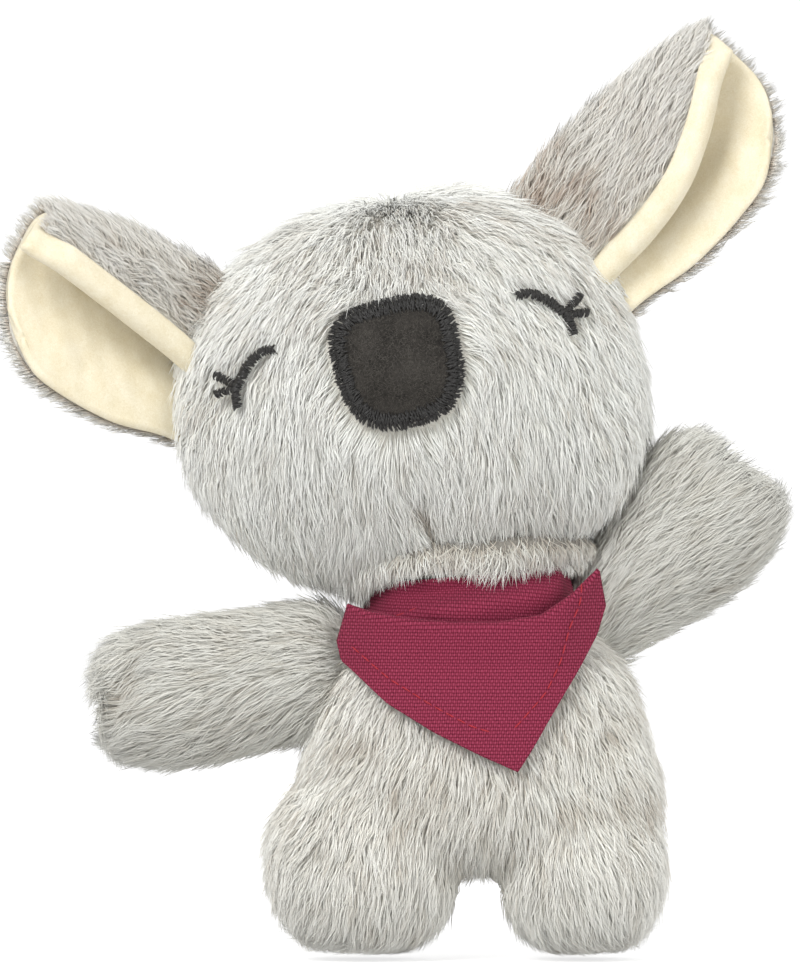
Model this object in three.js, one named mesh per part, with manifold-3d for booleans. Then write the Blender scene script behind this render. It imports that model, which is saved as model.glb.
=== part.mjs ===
// Plush koala standing on its two stub legs, in millimetres.
// +X is the toy's left side, the face looks along -Y, +Z is up and Z = 0 is the floor.
import * as THREE from 'three';
import { mergeVertices } from 'three/addons/utils/BufferGeometryUtils.js';
import Module from 'manifold-3d';

const wasm = await Module();
wasm.setup();

// Clearances and walls shared by all pieces
const clearance = 0.3; // between neighbouring pieces
const overrun = 80; // how far a cutting tool passes what it cuts
const coverWall = 4.2; // plush with its pile, on head and body
const limbWall = 3; // plush with its pile, on arms and legs
const soleFlat = 0.5; // depth of the flat under each foot
const mergeDistance = 1e-4; // points of a form closer than this are one
const facetSlack = 0.08; // a finished piece's facets may lie this far off its form

// Body
const torso = { x: 12, y: 0.5, floorGap: 12.6, height: 45, halfWidth: 29.6, halfDepth: 19 };
const torsoPower = 2.3; // roundness of the body in plan
const torsoShares = [ // height, width, depth
  [0, 0, 0], [0.02, 0.36, 0.4], [0.08, 0.66, 0.68], [0.18, 0.88, 0.88], [0.3, 0.98, 0.97],
  [0.42, 1, 1], [0.55, 0.955, 0.97], [0.67, 0.9, 0.91], [0.79, 0.82, 0.82], [0.88, 0.67, 0.68],
  [0.945, 0.49, 0.5], [0.985, 0.26, 0.27], [1, 0, 0],
];

// Legs
const rightLeg = { x: -5.2, y: 0, halfWidth: 15.5, halfDepth: 17.2, halfHeight: 16.8 };
const leftLeg = { x: 28.9, y: 0, halfWidth: 13.4, halfDepth: 16.8, halfHeight: 16 };
const legPlanPower = 2.4;
const legSidePower = 3.5;

// Neck joint
const neckRise = 0.8; // of the neck's middle above the body
// Point that the head turns, tilts and nods about
const neck = { x: 10.2, y: 1.5, z: torso.floorGap + torso.height + neckRise };
const neckPlugRadius = 9.6;
const neckSeamWall = 0.8;
const neckSeamHalfAngle = THREE.MathUtils.degToRad(17);
const headTiltHigh = THREE.MathUtils.degToRad(3); // how far the head tilts towards the raised arm

// Head, in a frame of its own that leans to the toy's right
const headRise = 31.7; // of the head's middle above the neck's
const head = {
  x: 1.75, y: 1.2, z: neck.z + headRise,
  halfWidth: 38.2, halfHeight: 31.2, backDepth: 25.6, frontDepth: 21.5,
  slump: 5, // the jaw hangs over to the toy's left
};
const headLean = THREE.MathUtils.degToRad(12.4);
const headPlanPower = 2.25;
const headSidePower = 2.45;
const muzzle = { depth: 8, halfWidth: 19, halfHeight: 17, z: 3.5 };
const muzzleFadeShare = 0.5; // the muzzle fades out over this much of the face's depth
const headSeamY = -4; // plane where face panel and back panel are sewn together

// Nose
const nose = { x: -0.6, z: 5.1, halfWidth: 10.9, halfHeight: 10.9, taper: 1.2, power: 3.2 };
const noseBorderWidth = 2.8;
const noseFelt = 1.2;
const noseThread = 1.7;
const noseSink = 2.4; // the felt lies this deep in the pile

// Closed eyes
const eyeStrokeWidth = 1.9;
const eyeLashWidth = 1.7;
const eyeThread = 1;
const eyeSink = 1.3;
const eyeLidShares = [[0.51, 0.35], [0.585, 0.338], [0.645, 0.285], [0.7, 0.2]];
const eyeLashShares = [[0.772, 0.285], [0.782, 0.2], [0.71, 0.112]];

// Ears
const ear = { length: 38.5, width: 30, outerWall: 3, liningWall: 1.2, rootInset: 6, creaseArc: 9 };
const earSectionShares = [ // of its length: place; of its width: crease height, back leaf, flap
  [0, 0.42, 0.9, 0.5], [0.26, 0.433, 1, 0.483], [0.494, 0.413, 0.983, 0.4],
  [0.727, 0.373, 0.9, 0.3], [0.896, 0.34, 0.733, 0.2], [1, 0.3, 0.5, 0.117],
];
const earRoundShare = 0.07; // the leaf's corners lie this much of its length behind the tip
// Heading of the leaf's section at its lower edge, its back, its flap at root and tip; 0 is up
const earLowerHeading = THREE.MathUtils.degToRad(-40);
const earBackHeading = THREE.MathUtils.degToRad(8);
const earFlapHeading = [168, 142].map(THREE.MathUtils.degToRad);
// Middle of each ear's root, in the head's frame; its rise above the head's own level, how far
// it points forwards and the turn of its opening about its length
const rightEar = { x: -31, y: 1.5, z: 15, riseDegrees: 42, forwardDegrees: 32, turnDegrees: 2 };
const leftEar = { x: 31, y: 1.5, z: 18.6, riseDegrees: 35, forwardDegrees: 8, turnDegrees: 4 };
const earFold = THREE.MathUtils.degToRad(20); // how far an ear folds either way

// Arms
const rightArm = { length: 36.6, halfHeight: 12.4, halfDepth: 10.8 };
const leftArm = { length: 37.2, halfHeight: 13.6, halfDepth: 10.2 }; // pressed flatter
const armHollowFrom = 11; // the stuffing thins to a channel nearer to the shoulder than this
const armShares = [ // length, section
  [0, 0.5], [0.1, 0.66], [0.22, 0.8], [0.36, 0.9], [0.52, 0.98], [0.68, 1], [0.82, 0.9],
  [0.92, 0.7], [0.98, 0.4],
];
const armPower = 2.2;
const rightShoulder = { x: -11.6, y: 1, z: 45 };
const leftShoulder = { x: 32.6, y: 3.2, z: 50.4 };
const rightArmRise = THREE.MathUtils.degToRad(-6.5);
const leftArmRise = THREE.MathUtils.degToRad(53);
const armBallRadius = 7.2;
const shoulderSeamWall = 0.8;
const shoulderSeamFrom = THREE.MathUtils.degToRad(26);
const shoulderSeamTo = THREE.MathUtils.degToRad(50);
const armSwing = THREE.MathUtils.degToRad(14); // forwards and backwards
const rightArmReach = [-14, 22].map(THREE.MathUtils.degToRad); // lowest and highest, from rest
const leftArmReach = [-45, 0].map(THREE.MathUtils.degToRad);
const cheekHeading = THREE.MathUtils.degToRad(52); // of the raised arm's side along the head, from +X
const cheekSlack = 0.6;
const armOpeningRadius = 3.4;
const sweepSlack = 1.2; // the coarse forms swept past an arm are this much fuller
const sweptSlack = 0.4; // and their facets may lie this far off
const sweptSeamMargin = THREE.MathUtils.degToRad(3);

// Bandana
const bandana = { cloth: 1, topRight: [-8.8, 53.6], topLeft: [31.8, 56.6], tip: [18.1, 31] };
const bandanaTipHalfWidth = 1;
const bandanaEdgeBow = 1.6; // the hanging edges bow out
const bandanaHang = 47; // above this height the cloth hangs straight from the band
const bandanaFold = { depth: 0.7, count: 2.5 };
const clothWrapShare = 0.97; // the cloth follows the body round to this share of its width
const collarLower = { x: 10.2, y: 0.5, halfWidth: 15.2, halfDepth: 14.2, z: 54.7 };
const collarUpper = { x: 10.2, y: 1.5, halfWidth: 12.6, halfDepth: 12.4, z: 56.8 };
const collarRoll = 0.7; // the band swells between its edges
const collarLean = 0.6; // the band lies this much higher on the toy's left side

// Facets
const headSides = 32;
const headRows = 16;
const bodySides = 28;
const limbSides = 20;
const limbRows = 10;
const innerSides = 16;
const innerRows = 8;
const ballSides = 16;
const ballRows = 10;
const bandArcs = 2;
const earSteps = 7;
const earRows = 13;
const earWalkSteps = 24;
const noseSides = 32;
const strokeArcs = 4;
const flapSteps = 16;
const flapRows = 9;
const collarRows = 3;
const sweptSides = 14;
const sweptRows = 7;
const sweptFlapSteps = 4;
const sweptFlapRows = 2;
const normalProbeShare = 1e-3; // step along a sheet that its normal is taken over
const earSweepShares = [-1, -0.5, 0.5, 1]; // places in an ear's fold that are cut clear
const armSweepShares = [0, 0.5, 1]; // places in an arm's reach that are cut clear

// Finishes
const furFinish = { color: 0xc2c3bb, roughness: 1 };
const backFurFinish = { color: 0xb9b9b0, roughness: 1 };
const fleeceFinish = { color: 0xede4cc, roughness: 1 };
const feltFinish = { color: 0x33312f, roughness: 0.95 };
const threadFinish = { color: 0x1c1b1a, roughness: 0.5 };
const clothFinish = { color: 0x8e3a50, roughness: 0.85 };
const fibreFinish = { color: 0xf2f1ec, roughness: 1 };
const seamFinish = { color: 0xa9a9a1, roughness: 0.8 };

/** Closed solid from a list of points and triangles, turned right side out. */
function solid(points, triangles) {
  const geometry = new THREE.BufferGeometry();
  geometry.setAttribute('position', new THREE.Float32BufferAttribute(points.flat(), 3));
  geometry.setIndex(triangles.flat());
  return toManifold(geometry);
}

/** Solid of a closed geometry, after its shared vertices are merged. */
function toManifold(source) {
  const plain = source.clone();
  for (const name of ['normal', 'uv']) plain.deleteAttribute(name);
  const merged = mergeVertices(plain, mergeDistance);
  const index = Array.from(merged.index.array);
  const at = (i) => new THREE.Vector3().fromBufferAttribute(merged.attributes.position, i);
  const faces = [];
  let volume = 0;
  for (let i = 0; i < index.length; i += 3) {
    const [a, b, c] = index.slice(i, i + 3);
    if (a === b || b === c || c === a) continue;
    faces.push([a, b, c]);
    volume += at(a).dot(at(b).cross(at(c)));
  }
  const turned = volume < 0 ? faces.map(([a, b, c]) => [a, c, b]) : faces;
  return new wasm.Manifold(new wasm.Mesh({
    numProp: 3,
    vertProperties: new Float32Array(merged.attributes.position.array),
    triVerts: new Uint32Array(turned.flat()),
  }));
}

/** Geometry of a finished solid. */
function toGeometry(manifold) {
  const mesh = manifold.simplify(facetSlack).getMesh();
  const geometry = new THREE.BufferGeometry();
  geometry.setAttribute('position', new THREE.Float32BufferAttribute(mesh.vertProperties, 3));
  geometry.setIndex(new THREE.Uint32BufferAttribute(mesh.triVerts, 1));
  geometry.computeVertexNormals();
  return geometry;
}

/** Solid moved by a matrix. */
function moved(manifold, matrix) {
  return manifold.transform(matrix.elements);
}

const shift = (x, y, z) => new THREE.Matrix4().makeTranslation(x, y, z);

/** Signed power, which gives the rounded sections. */
function curved(value, power) {
  return Math.sign(value) * Math.abs(value) ** (2 / power);
}

/** Closed solid through rings of points; a ring of one point closes an end. */
function ringSolid(rings) {
  const points = [];
  const triangles = [];
  let before = null;
  for (const ring of rings) {
    const first = points.length;
    points.push(...ring);
    const count = ring.length;
    if (before) {
      const sides = Math.max(count, before.count);
      for (let i = 0; i < sides; i++) {
        const next = (i + 1) % sides;
        const a = before.first + (before.count > 1 ? i : 0);
        const b = before.first + (before.count > 1 ? next : 0);
        const c = first + (count > 1 ? i : 0);
        const d = first + (count > 1 ? next : 0);
        if (before.count > 1) triangles.push([a, b, c]);
        if (count > 1) triangles.push([b, d, c]);
      }
    }
    before = { first, count };
  }
  return solid(points, triangles);
}

/** Points of one rounded ring at a height. */
function ringPoints(sides, halfWidth, halfDepth, z, power) {
  return Array.from({ length: sides }, (_, i) => {
    const t = (2 * Math.PI * i) / sides;
    return [halfWidth * curved(Math.cos(t), power), halfDepth * curved(Math.sin(t), power), z];
  });
}

/** Slab between two surfaces that follow a sheet, at two distances along its normals. */
function sheetSolid(surface, steps, rows, near, far, ring = false) {
  const small = normalProbeShare;
  const place = (u, v, off) => {
    const p = surface(u, v);
    const du = surface(u + small, v).sub(surface(u - small, v));
    const dv = surface(u, v + small).sub(surface(u, v - small));
    return p.addScaledVector(du.cross(dv).normalize(), off).toArray();
  };
  const columns = ring ? steps : steps + 1;
  const points = [];
  for (const off of [near, far]) {
    for (let i = 0; i < columns; i++) {
      for (let j = 0; j <= rows; j++) points.push(place(i / steps, j / rows, off));
    }
  }
  const at = (side, i, j) => side * columns * (rows + 1) + (i % columns) * (rows + 1) + j;
  const triangles = [];
  const quad = (a, b, c, d) => triangles.push([a, b, c], [a, c, d]);
  for (let i = 0; i < steps; i++) {
    for (let j = 0; j < rows; j++) {
      quad(at(0, i, j), at(0, i + 1, j), at(0, i + 1, j + 1), at(0, i, j + 1));
      quad(at(1, i, j), at(1, i, j + 1), at(1, i + 1, j + 1), at(1, i + 1, j));
    }
    quad(at(0, i, 0), at(1, i, 0), at(1, i + 1, 0), at(0, i + 1, 0));
    quad(at(0, i, rows), at(0, i + 1, rows), at(1, i + 1, rows), at(1, i, rows));
  }
  for (let j = 0; j < rows && !ring; j++) {
    quad(at(0, 0, j), at(0, 0, j + 1), at(1, 0, j + 1), at(1, 0, j));
    quad(at(0, steps, j), at(1, steps, j), at(1, steps, j + 1), at(0, steps, j + 1));
  }
  return solid(points, triangles);
}

/** Box that keeps one side of a plane across Y. */
function sideOfY(y, sign) {
  const box = toManifold(new THREE.BoxGeometry(2 * overrun, 2 * overrun, 4 * overrun));
  return moved(box, shift(0, y + sign * overrun, 0));
}

function ball(radius, sides = ballSides, rows = ballRows) {
  return toManifold(new THREE.SphereGeometry(radius, sides, rows).rotateX(Math.PI / 2));
}

/** Band of a ball's shell between two angles from +Z. */
function shellBand(inner, outer, from, to) {
  const arc = (radius, a, b) => Array.from({ length: bandArcs + 1 }, (_, i) => {
    const angle = THREE.MathUtils.lerp(a, b, i / bandArcs);
    return new THREE.Vector2(radius * Math.sin(angle), radius * Math.cos(angle));
  });
  const outline = [...arc(outer, from, to), ...arc(inner, to, from)];
  outline.push(outline[0].clone());
  return toManifold(new THREE.LatheGeometry(outline, ballSides).rotateX(Math.PI / 2));
}

/** Body form, grown by an offset. */
function torsoForm(offset, sides) {
  const middle = torso.floorGap + torso.height / 2;
  const stretch = 1 + (2 * offset) / torso.height;
  const rings = torsoShares.map(([rise, width, depth]) => {
    const z = middle + (torso.floorGap + rise * torso.height - middle) * stretch;
    if (!width) return [[0, 0, z]];
    const wide = width * (torso.halfWidth + offset);
    return ringPoints(sides, wide, depth * (torso.halfDepth + offset), z, torsoPower);
  });
  return moved(ringSolid(rings), shift(torso.x, torso.y, 0));
}

/** Half width and half depth of the body at a height. */
function torsoAt(z) {
  const share = THREE.MathUtils.clamp((z - torso.floorGap) / torso.height, 0, 1);
  const k = torsoShares.findIndex(([rise]) => rise >= share);
  const [low, high] = [torsoShares[Math.max(k - 1, 0)], torsoShares[k]];
  const t = high[0] > low[0] ? (share - low[0]) / (high[0] - low[0]) : 0;
  const mix = (i) => THREE.MathUtils.lerp(low[i], high[i], t);
  return { wide: torso.halfWidth * mix(1), deep: torso.halfDepth * mix(2) };
}

/** Leg lobe, grown by an offset; its lowest point lies soleFlat under the floor. */
function legForm(leg, offset, sides, rows) {
  const rings = [];
  for (let j = 0; j <= rows; j++) {
    const angle = -Math.PI / 2 + (Math.PI * j) / rows;
    const z = (leg.halfHeight + offset) * curved(Math.sin(angle), legSidePower);
    const share = curved(Math.cos(angle), legSidePower);
    const ends = j === 0 || j === rows;
    rings.push(ends ? [[0, 0, z]] : ringPoints(
      sides, share * (leg.halfWidth + offset), share * (leg.halfDepth + offset), z, legPlanPower,
    ));
  }
  return moved(ringSolid(rings), shift(leg.x, leg.y, leg.halfHeight - soleFlat));
}

/** Head form in the head's frame, grown by an offset. */
function headForm(offset, sides = headSides, rows = headRows) {
  const rings = [];
  for (let j = 0; j <= rows; j++) {
    const angle = -Math.PI / 2 + (Math.PI * j) / rows;
    const z = (head.halfHeight + offset) * curved(Math.sin(angle), headSidePower);
    const share = curved(Math.cos(angle), headSidePower);
    const sag = z < 0 ? head.slump * (z / head.halfHeight) ** 2 : 0;
    if (j === 0 || j === rows) {
      rings.push([[sag, 0, z]]);
      continue;
    }
    rings.push(Array.from({ length: sides }, (_, i) => {
      const t = (2 * Math.PI * i) / sides;
      const x = share * (head.halfWidth + offset) * curved(Math.cos(t), headPlanPower);
      const deep = (Math.sin(t) < 0 ? head.frontDepth : head.backDepth) + offset;
      const flat = share * deep * curved(Math.sin(t), headPlanPower);
      const bulge = Math.sin(t) < 0 ? muzzleAt(x, z) * Math.min(1, -flat / deep / muzzleFadeShare) : 0;
      return [x + sag, flat - bulge, z];
    }));
  }
  return ringSolid(rings);
}

/** How far the muzzle stands out of the face. */
function muzzleAt(x, z) {
  const across = x / muzzle.halfWidth;
  const along = (z - muzzle.z) / muzzle.halfHeight;
  return muzzle.depth * Math.exp(-across * across - along * along);
}

/** Arm form along +X from the shoulder, grown by an offset. */
function armForm(arm, offset, sides) {
  const rings = armShares.map(([reach, size]) => {
    const halfHeight = size * (arm.halfHeight + offset);
    const halfDepth = size * (arm.halfDepth + offset);
    return ringPoints(sides, halfHeight, halfDepth, reach * (arm.length + offset), armPower);
  });
  const form = ringSolid([[[0, 0, 0]], ...rings, [[0, 0, arm.length + offset]]]);
  return moved(form, new THREE.Matrix4().makeRotationY(Math.PI / 2));
}

/** Space inside an arm's cover, shrunk by a gap, with its channel to the shoulder. */
function armCore(arm, gap, around) {
  const bulk = armForm(arm, -limbWall - gap, innerSides).subtract(around)
    .intersect(moved(sideOfY(0, 1), new THREE.Matrix4().makeRotationZ(-Math.PI / 2)
      .premultiply(shift(armHollowFrom + gap, 0, 0))));
  const mouth = Math.sqrt(armBallRadius ** 2 - armOpeningRadius ** 2);
  const from = gap ? gap - mouth : -armBallRadius;
  const to = 2 * armHollowFrom;
  const channel = new THREE.CylinderGeometry(
    armOpeningRadius - gap, armOpeningRadius - gap, to - from, innerSides,
  ).rotateZ(Math.PI / 2).translate((from + to) / 2, 0, 0);
  return bulk.add(toManifold(channel));
}

/** Piece of a plan outline that reaches through the head along Y. */
function throughHead(shape) {
  const bar = new THREE.ExtrudeGeometry(
    shape, { depth: 2 * overrun, bevelEnabled: false, curveSegments: strokeArcs },
  );
  return toManifold(bar.rotateX(Math.PI / 2));
}

/** Layer of the head between two depths under its surface. */
function headLayer(top, bottom) {
  return headForm(top).subtract(headForm(bottom)).intersect(sideOfY(0, -1));
}

/** Nose outline, grown by an offset. */
function noseShape(offset) {
  const points = Array.from({ length: noseSides }, (_, i) => {
    const t = (2 * Math.PI * i) / noseSides;
    const wide = nose.halfWidth + offset + nose.taper * Math.sin(t);
    const x = nose.x + wide * curved(Math.cos(t), nose.power);
    return new THREE.Vector2(x, nose.z + (nose.halfHeight + offset) * curved(Math.sin(t), nose.power));
  });
  return new THREE.Shape(points);
}

/** Strokes of one closed eye, grown by an offset; side is 1 for the left eye and -1 for the right. */
function eyeStrokes(side, offset) {
  const place = ([x, z]) => new THREE.Vector2(side * x * head.halfWidth, z * head.halfHeight);
  const lid = eyeLidShares.map(place);
  const corner = lid[lid.length - 1];
  const strokes = lid.slice(1).map((to, i) => [lid[i], to, eyeStrokeWidth]);
  for (const lash of eyeLashShares) strokes.push([corner, place(lash), eyeLashWidth]);
  return strokes.map(([from, to, width]) => throughHead(barShape(from, to, width / 2 + offset)))
    .reduce((all, stroke) => all.add(stroke));
}

/** Bar with round ends from one point to another. */
function barShape(from, to, radius) {
  const heading = to.clone().sub(from).angle();
  const shape = new THREE.Shape();
  shape.absarc(to.x, to.y, radius, heading - Math.PI / 2, heading + Math.PI / 2);
  shape.absarc(from.x, from.y, radius, heading + Math.PI / 2, heading + (3 * Math.PI) / 2);
  return shape;
}

/** Section of an ear's leaf at a share of its length, between the listed ones. */
function earSectionAt(share) {
  const k = THREE.MathUtils.clamp(
    earSectionShares.findIndex(([place]) => place >= share), 1, earSectionShares.length - 1,
  );
  const [low, high] = [earSectionShares[k - 1], earSectionShares[k]];
  const t = Math.max((share - low[0]) / (high[0] - low[0]), 0);
  const mix = (i) => ear.width * THREE.MathUtils.lerp(low[i], high[i], t);
  return { crease: mix(1), back: mix(2), flap: mix(3) };
}

/** Heading of a leaf's section at a distance from its lower edge. */
function earHeading(arc, back, flapHeading) {
  const turned = THREE.MathUtils.smoothstep(arc, back - ear.creaseArc / 2, back + ear.creaseArc / 2);
  const rise = THREE.MathUtils.lerp(earLowerHeading, earBackHeading, Math.min(arc / back, 1));
  return THREE.MathUtils.lerp(rise, flapHeading, turned);
}

/** Point of the folded ear leaf: u runs from the root to the tip and v from edge to edge. */
function earSurface(u, v) {
  const along = -ear.rootInset + u * (ear.length + ear.rootInset);
  const { crease, back, flap } = earSectionAt(along / ear.length);
  const flapHeading = THREE.MathUtils.lerp(...earFlapHeading, u);
  const walk = (to) => {
    const place = new THREE.Vector2();
    for (let i = 0; i < earWalkSteps; i++) {
      const heading = earHeading(((i + 0.5) / earWalkSteps) * to, back, flapHeading);
      place.x -= (Math.sin(heading) * to) / earWalkSteps;
      place.y += (Math.cos(heading) * to) / earWalkSteps;
    }
    return place;
  };
  const top = walk(back);
  const here = walk(v * (back + flap));
  const corner = ear.length * earRoundShare * (u * (2 * v - 1)) ** 2;
  return new THREE.Vector3(along - corner, here.x - walk(back / 2).x, here.y - top.y + crease);
}

/** Frame of an ear in the head's frame; its X is the ear's length and its -Y the opening. */
function earFrame(place) {
  const rise = THREE.MathUtils.degToRad(place.riseDegrees);
  const forward = THREE.MathUtils.degToRad(place.forwardDegrees);
  const turn = THREE.MathUtils.degToRad(place.turnDegrees);
  const frame = new THREE.Matrix4().makeRotationY(-rise)
    .multiply(new THREE.Matrix4().makeRotationZ(-forward))
    .multiply(new THREE.Matrix4().makeRotationX(turn));
  frame.premultiply(shift(Math.abs(place.x), place.y, place.z));
  return place.x < 0 ? frame.premultiply(new THREE.Matrix4().makeScale(-1, 1, 1)) : frame;
}

/** Turn about an axis through a point. */
function turnAbout(point, axis, angle) {
  return shift(point.x, point.y, point.z)
    .multiply(new THREE.Matrix4().makeRotationAxis(axis, angle))
    .multiply(shift(-point.x, -point.y, -point.z));
}

/** Everything that an ear must clear as it folds about its root. */
function earClearance(place, frame) {
  const form = headForm(clearance);
  const hinge = new THREE.Vector3().setFromMatrixColumn(frame, 2).normalize();
  return earSweepShares
    .map((share) => moved(form, turnAbout(place, hinge, share * earFold)))
    .reduce((all, one) => all.add(one), form);
}

/** Everything that an arm must clear as it swings and rises, grown by a wall. */
function armClearance(side, shoulder, reach, wall) {
  const half = bandana.cloth / 2 + clearance + wall;
  const gap = clearance + sweepSlack + wall;
  const bowed = turnAbout(neck, new THREE.Vector3(0, 1, 0), headTiltHigh).multiply(headFrame);
  const headAround = headForm(gap, sweptSides, sweptRows);
  const seamAround = shellBand(
    armBallRadius, shoulderSocket, shoulderSeamFrom - sweptSeamMargin, shoulderSeamTo + sweptSeamMargin,
  );
  const still = torsoForm(gap, sweptSides)
    .add(moved(headAround, headFrame)).add(moved(headAround, bowed))
    .add(sheetSolid(collarSurface, sweptSides, 1, -half, half, true))
    .add(sheetSolid(flapSurface, sweptFlapSteps, sweptFlapRows, -half, half))
    .subtract(moved(ball(armBallRadius), shift(shoulder.x, shoulder.y, shoulder.z)))
    .add(moved(seamAround, inwardFrame(side, shoulder)));
  const up = new THREE.Vector3(0, 0, 1);
  const across = new THREE.Vector3(0, -side, 0);
  let all = still;
  for (const swing of [-armSwing, armSwing]) {
    for (const share of armSweepShares) {
      const rise = THREE.MathUtils.lerp(reach[0], reach[1], share);
      const pose = turnAbout(shoulder, up, swing).multiply(turnAbout(shoulder, across, rise));
      all = all.add(moved(still, pose.invert()));
    }
  }
  const swept = all.simplify(sweptSlack);
  return side > 0 ? swept.add(cheekSide(wall)) : swept;
}

/** Half space that holds the head, tilted too, and ends a wall past it. */
function cheekSide(wall) {
  const heading = new THREE.Matrix4().makeRotationY(-cheekHeading);
  const bowed = turnAbout(neck, new THREE.Vector3(0, 1, 0), headTiltHigh).multiply(headFrame);
  const reach = (frame) => -moved(headForm(clearance), heading.clone().invert().multiply(frame))
    .boundingBox().min[2];
  const depth = Math.max(reach(headFrame), reach(bowed)) + cheekSlack + wall;
  const box = toManifold(new THREE.BoxGeometry(4 * overrun, 4 * overrun, 4 * overrun));
  return moved(box, heading.multiply(shift(0, 0, 2 * overrun - depth)));
}

/** Frame of a shoulder seam, whose Z points into the body. */
function inwardFrame(side, shoulder) {
  return shift(shoulder.x, shoulder.y, shoulder.z)
    .multiply(new THREE.Matrix4().makeRotationY(-side * Math.PI / 2));
}

/** Front of the body at a place, where the cloth hangs. */
function clothFront(x, z) {
  const { wide, deep } = torsoAt(Math.min(z, bandanaHang));
  const gap = clearance + bandana.cloth;
  const across = Math.min(Math.abs(x - torso.x) / (wide + gap), clothWrapShare);
  return torso.y - (deep + gap) * (1 - across ** torsoPower) ** (1 / torsoPower);
}

/** Point of the hanging corner: u runs across and v from the neck to the tip. */
function flapSurface(u, v) {
  const edge = (corner, side) => {
    const x = THREE.MathUtils.lerp(corner[0], bandana.tip[0] + side * bandanaTipHalfWidth, v);
    return x + side * bandanaEdgeBow * Math.sin(Math.PI * v);
  };
  const x = THREE.MathUtils.lerp(edge(bandana.topRight, -1), edge(bandana.topLeft, 1), u);
  const top = THREE.MathUtils.lerp(bandana.topRight[1], bandana.topLeft[1], u);
  const z = THREE.MathUtils.lerp(top, bandana.tip[1], v);
  const fold = bandanaFold.depth * Math.sin(Math.PI * v) * Math.sin(Math.PI * bandanaFold.count * u) ** 2;
  return new THREE.Vector3(x, clothFront(x, z) - fold, z);
}

/** Point of the band: u runs round the neck and v from its lower to its upper edge. */
function collarSurface(u, v) {
  const t = 2 * Math.PI * u;
  const swell = collarRoll * Math.sin(Math.PI * v);
  const wide = THREE.MathUtils.lerp(collarLower.halfWidth, collarUpper.halfWidth, v) + swell;
  const deep = THREE.MathUtils.lerp(collarLower.halfDepth, collarUpper.halfDepth, v) + swell;
  const x = THREE.MathUtils.lerp(collarLower.x, collarUpper.x, v) + wide * Math.cos(t);
  const y = THREE.MathUtils.lerp(collarLower.y, collarUpper.y, v) + deep * Math.sin(t);
  const z = THREE.MathUtils.lerp(collarLower.z, collarUpper.z, v) + swell;
  return new THREE.Vector3(x, y, z + collarLean * Math.cos(t));
}

// Frames of the leaning head and the two arms
const headFrame = shift(head.x, head.y, head.z)
  .multiply(new THREE.Matrix4().makeRotationY(-headLean));
const neckFrame = shift(neck.x, neck.y, neck.z);
const neckInHead = headFrame.clone().invert().multiply(neckFrame);
const rightArmFrame = shift(rightShoulder.x, rightShoulder.y, rightShoulder.z)
  .multiply(new THREE.Matrix4().makeRotationY(rightArmRise))
  .multiply(new THREE.Matrix4().makeRotationZ(Math.PI));
const leftArmFrame = shift(leftShoulder.x, leftShoulder.y, leftShoulder.z)
  .multiply(new THREE.Matrix4().makeRotationY(-leftArmRise));

// Radii of the nested ball joints
const neckSeamInner = neckPlugRadius + clearance;
const neckSocket = neckSeamInner + neckSeamWall + clearance;
const shoulderSeamInner = armBallRadius + clearance;
const shoulderSocket = shoulderSeamInner + shoulderSeamWall + clearance;

const toy = new THREE.Group();

/** Adds a finished solid as a named mesh. */
function addPiece(name, manifold, finish, frame) {
  const mesh = new THREE.Mesh(toGeometry(manifold), new THREE.MeshStandardMaterial(finish));
  mesh.name = name;
  if (frame) frame.decompose(mesh.position, mesh.quaternion, mesh.scale);
  toy.add(mesh);
}

/** Cover and stuffing of the body, with the legs that grow out of it. */
function addBody() {
  const sockets = [rightShoulder, leftShoulder]
    .map(({ x, y, z }) => moved(ball(shoulderSocket), shift(x, y, z)))
    .reduce((all, one) => all.add(one), moved(ball(neckSocket), neckFrame));
  const legs = [['right', rightLeg], ['left', leftLeg]];
  const legHollows = legs.map(([, leg]) => legForm(leg, -limbWall, innerSides, innerRows));
  const shell = torsoForm(0, bodySides)
    .subtract(torsoForm(-coverWall, innerSides))
    .subtract(sockets)
    .subtract(legHollows[0]).subtract(legHollows[1]);
  addPiece('body_front_panel', shell.intersect(sideOfY(torso.y - clearance / 2, -1)), furFinish);
  addPiece('body_back_panel', shell.intersect(sideOfY(torso.y + clearance / 2, 1)), backFurFinish);
  const stuffing = torsoForm(-coverWall - clearance, innerSides).subtract(sockets);
  addPiece('body_stuffing', stuffing, fibreFinish);
  const floor = moved(
    toManifold(new THREE.BoxGeometry(4 * overrun, 4 * overrun, overrun)),
    shift(0, 0, -overrun / 2),
  );
  for (const [i, [side, leg]] of legs.entries()) {
    const cover = legForm(leg, 0, limbSides, limbRows)
      .subtract(torsoForm(clearance, bodySides))
      .subtract(legHollows[i])
      .subtract(floor);
    const fill = legForm(leg, -limbWall - clearance, innerSides, innerRows)
      .subtract(torsoForm(-coverWall, innerSides));
    addPiece(`${side}_leg_cover`, cover, furFinish);
    addPiece(`${side}_leg_stuffing`, fill, fibreFinish);
  }
}

/** Plug of stuffing and seam thread that let the head turn, tilt and nod. */
function addNeck() {
  addPiece('neck_stuffing', ball(neckPlugRadius), fibreFinish, neckFrame);
  const seam = shellBand(
    neckSeamInner, neckSeamInner + neckSeamWall,
    Math.PI / 2 - neckSeamHalfAngle, Math.PI / 2 + neckSeamHalfAngle,
  );
  addPiece('neck_seam', seam, seamFinish, neckFrame);
}

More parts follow.
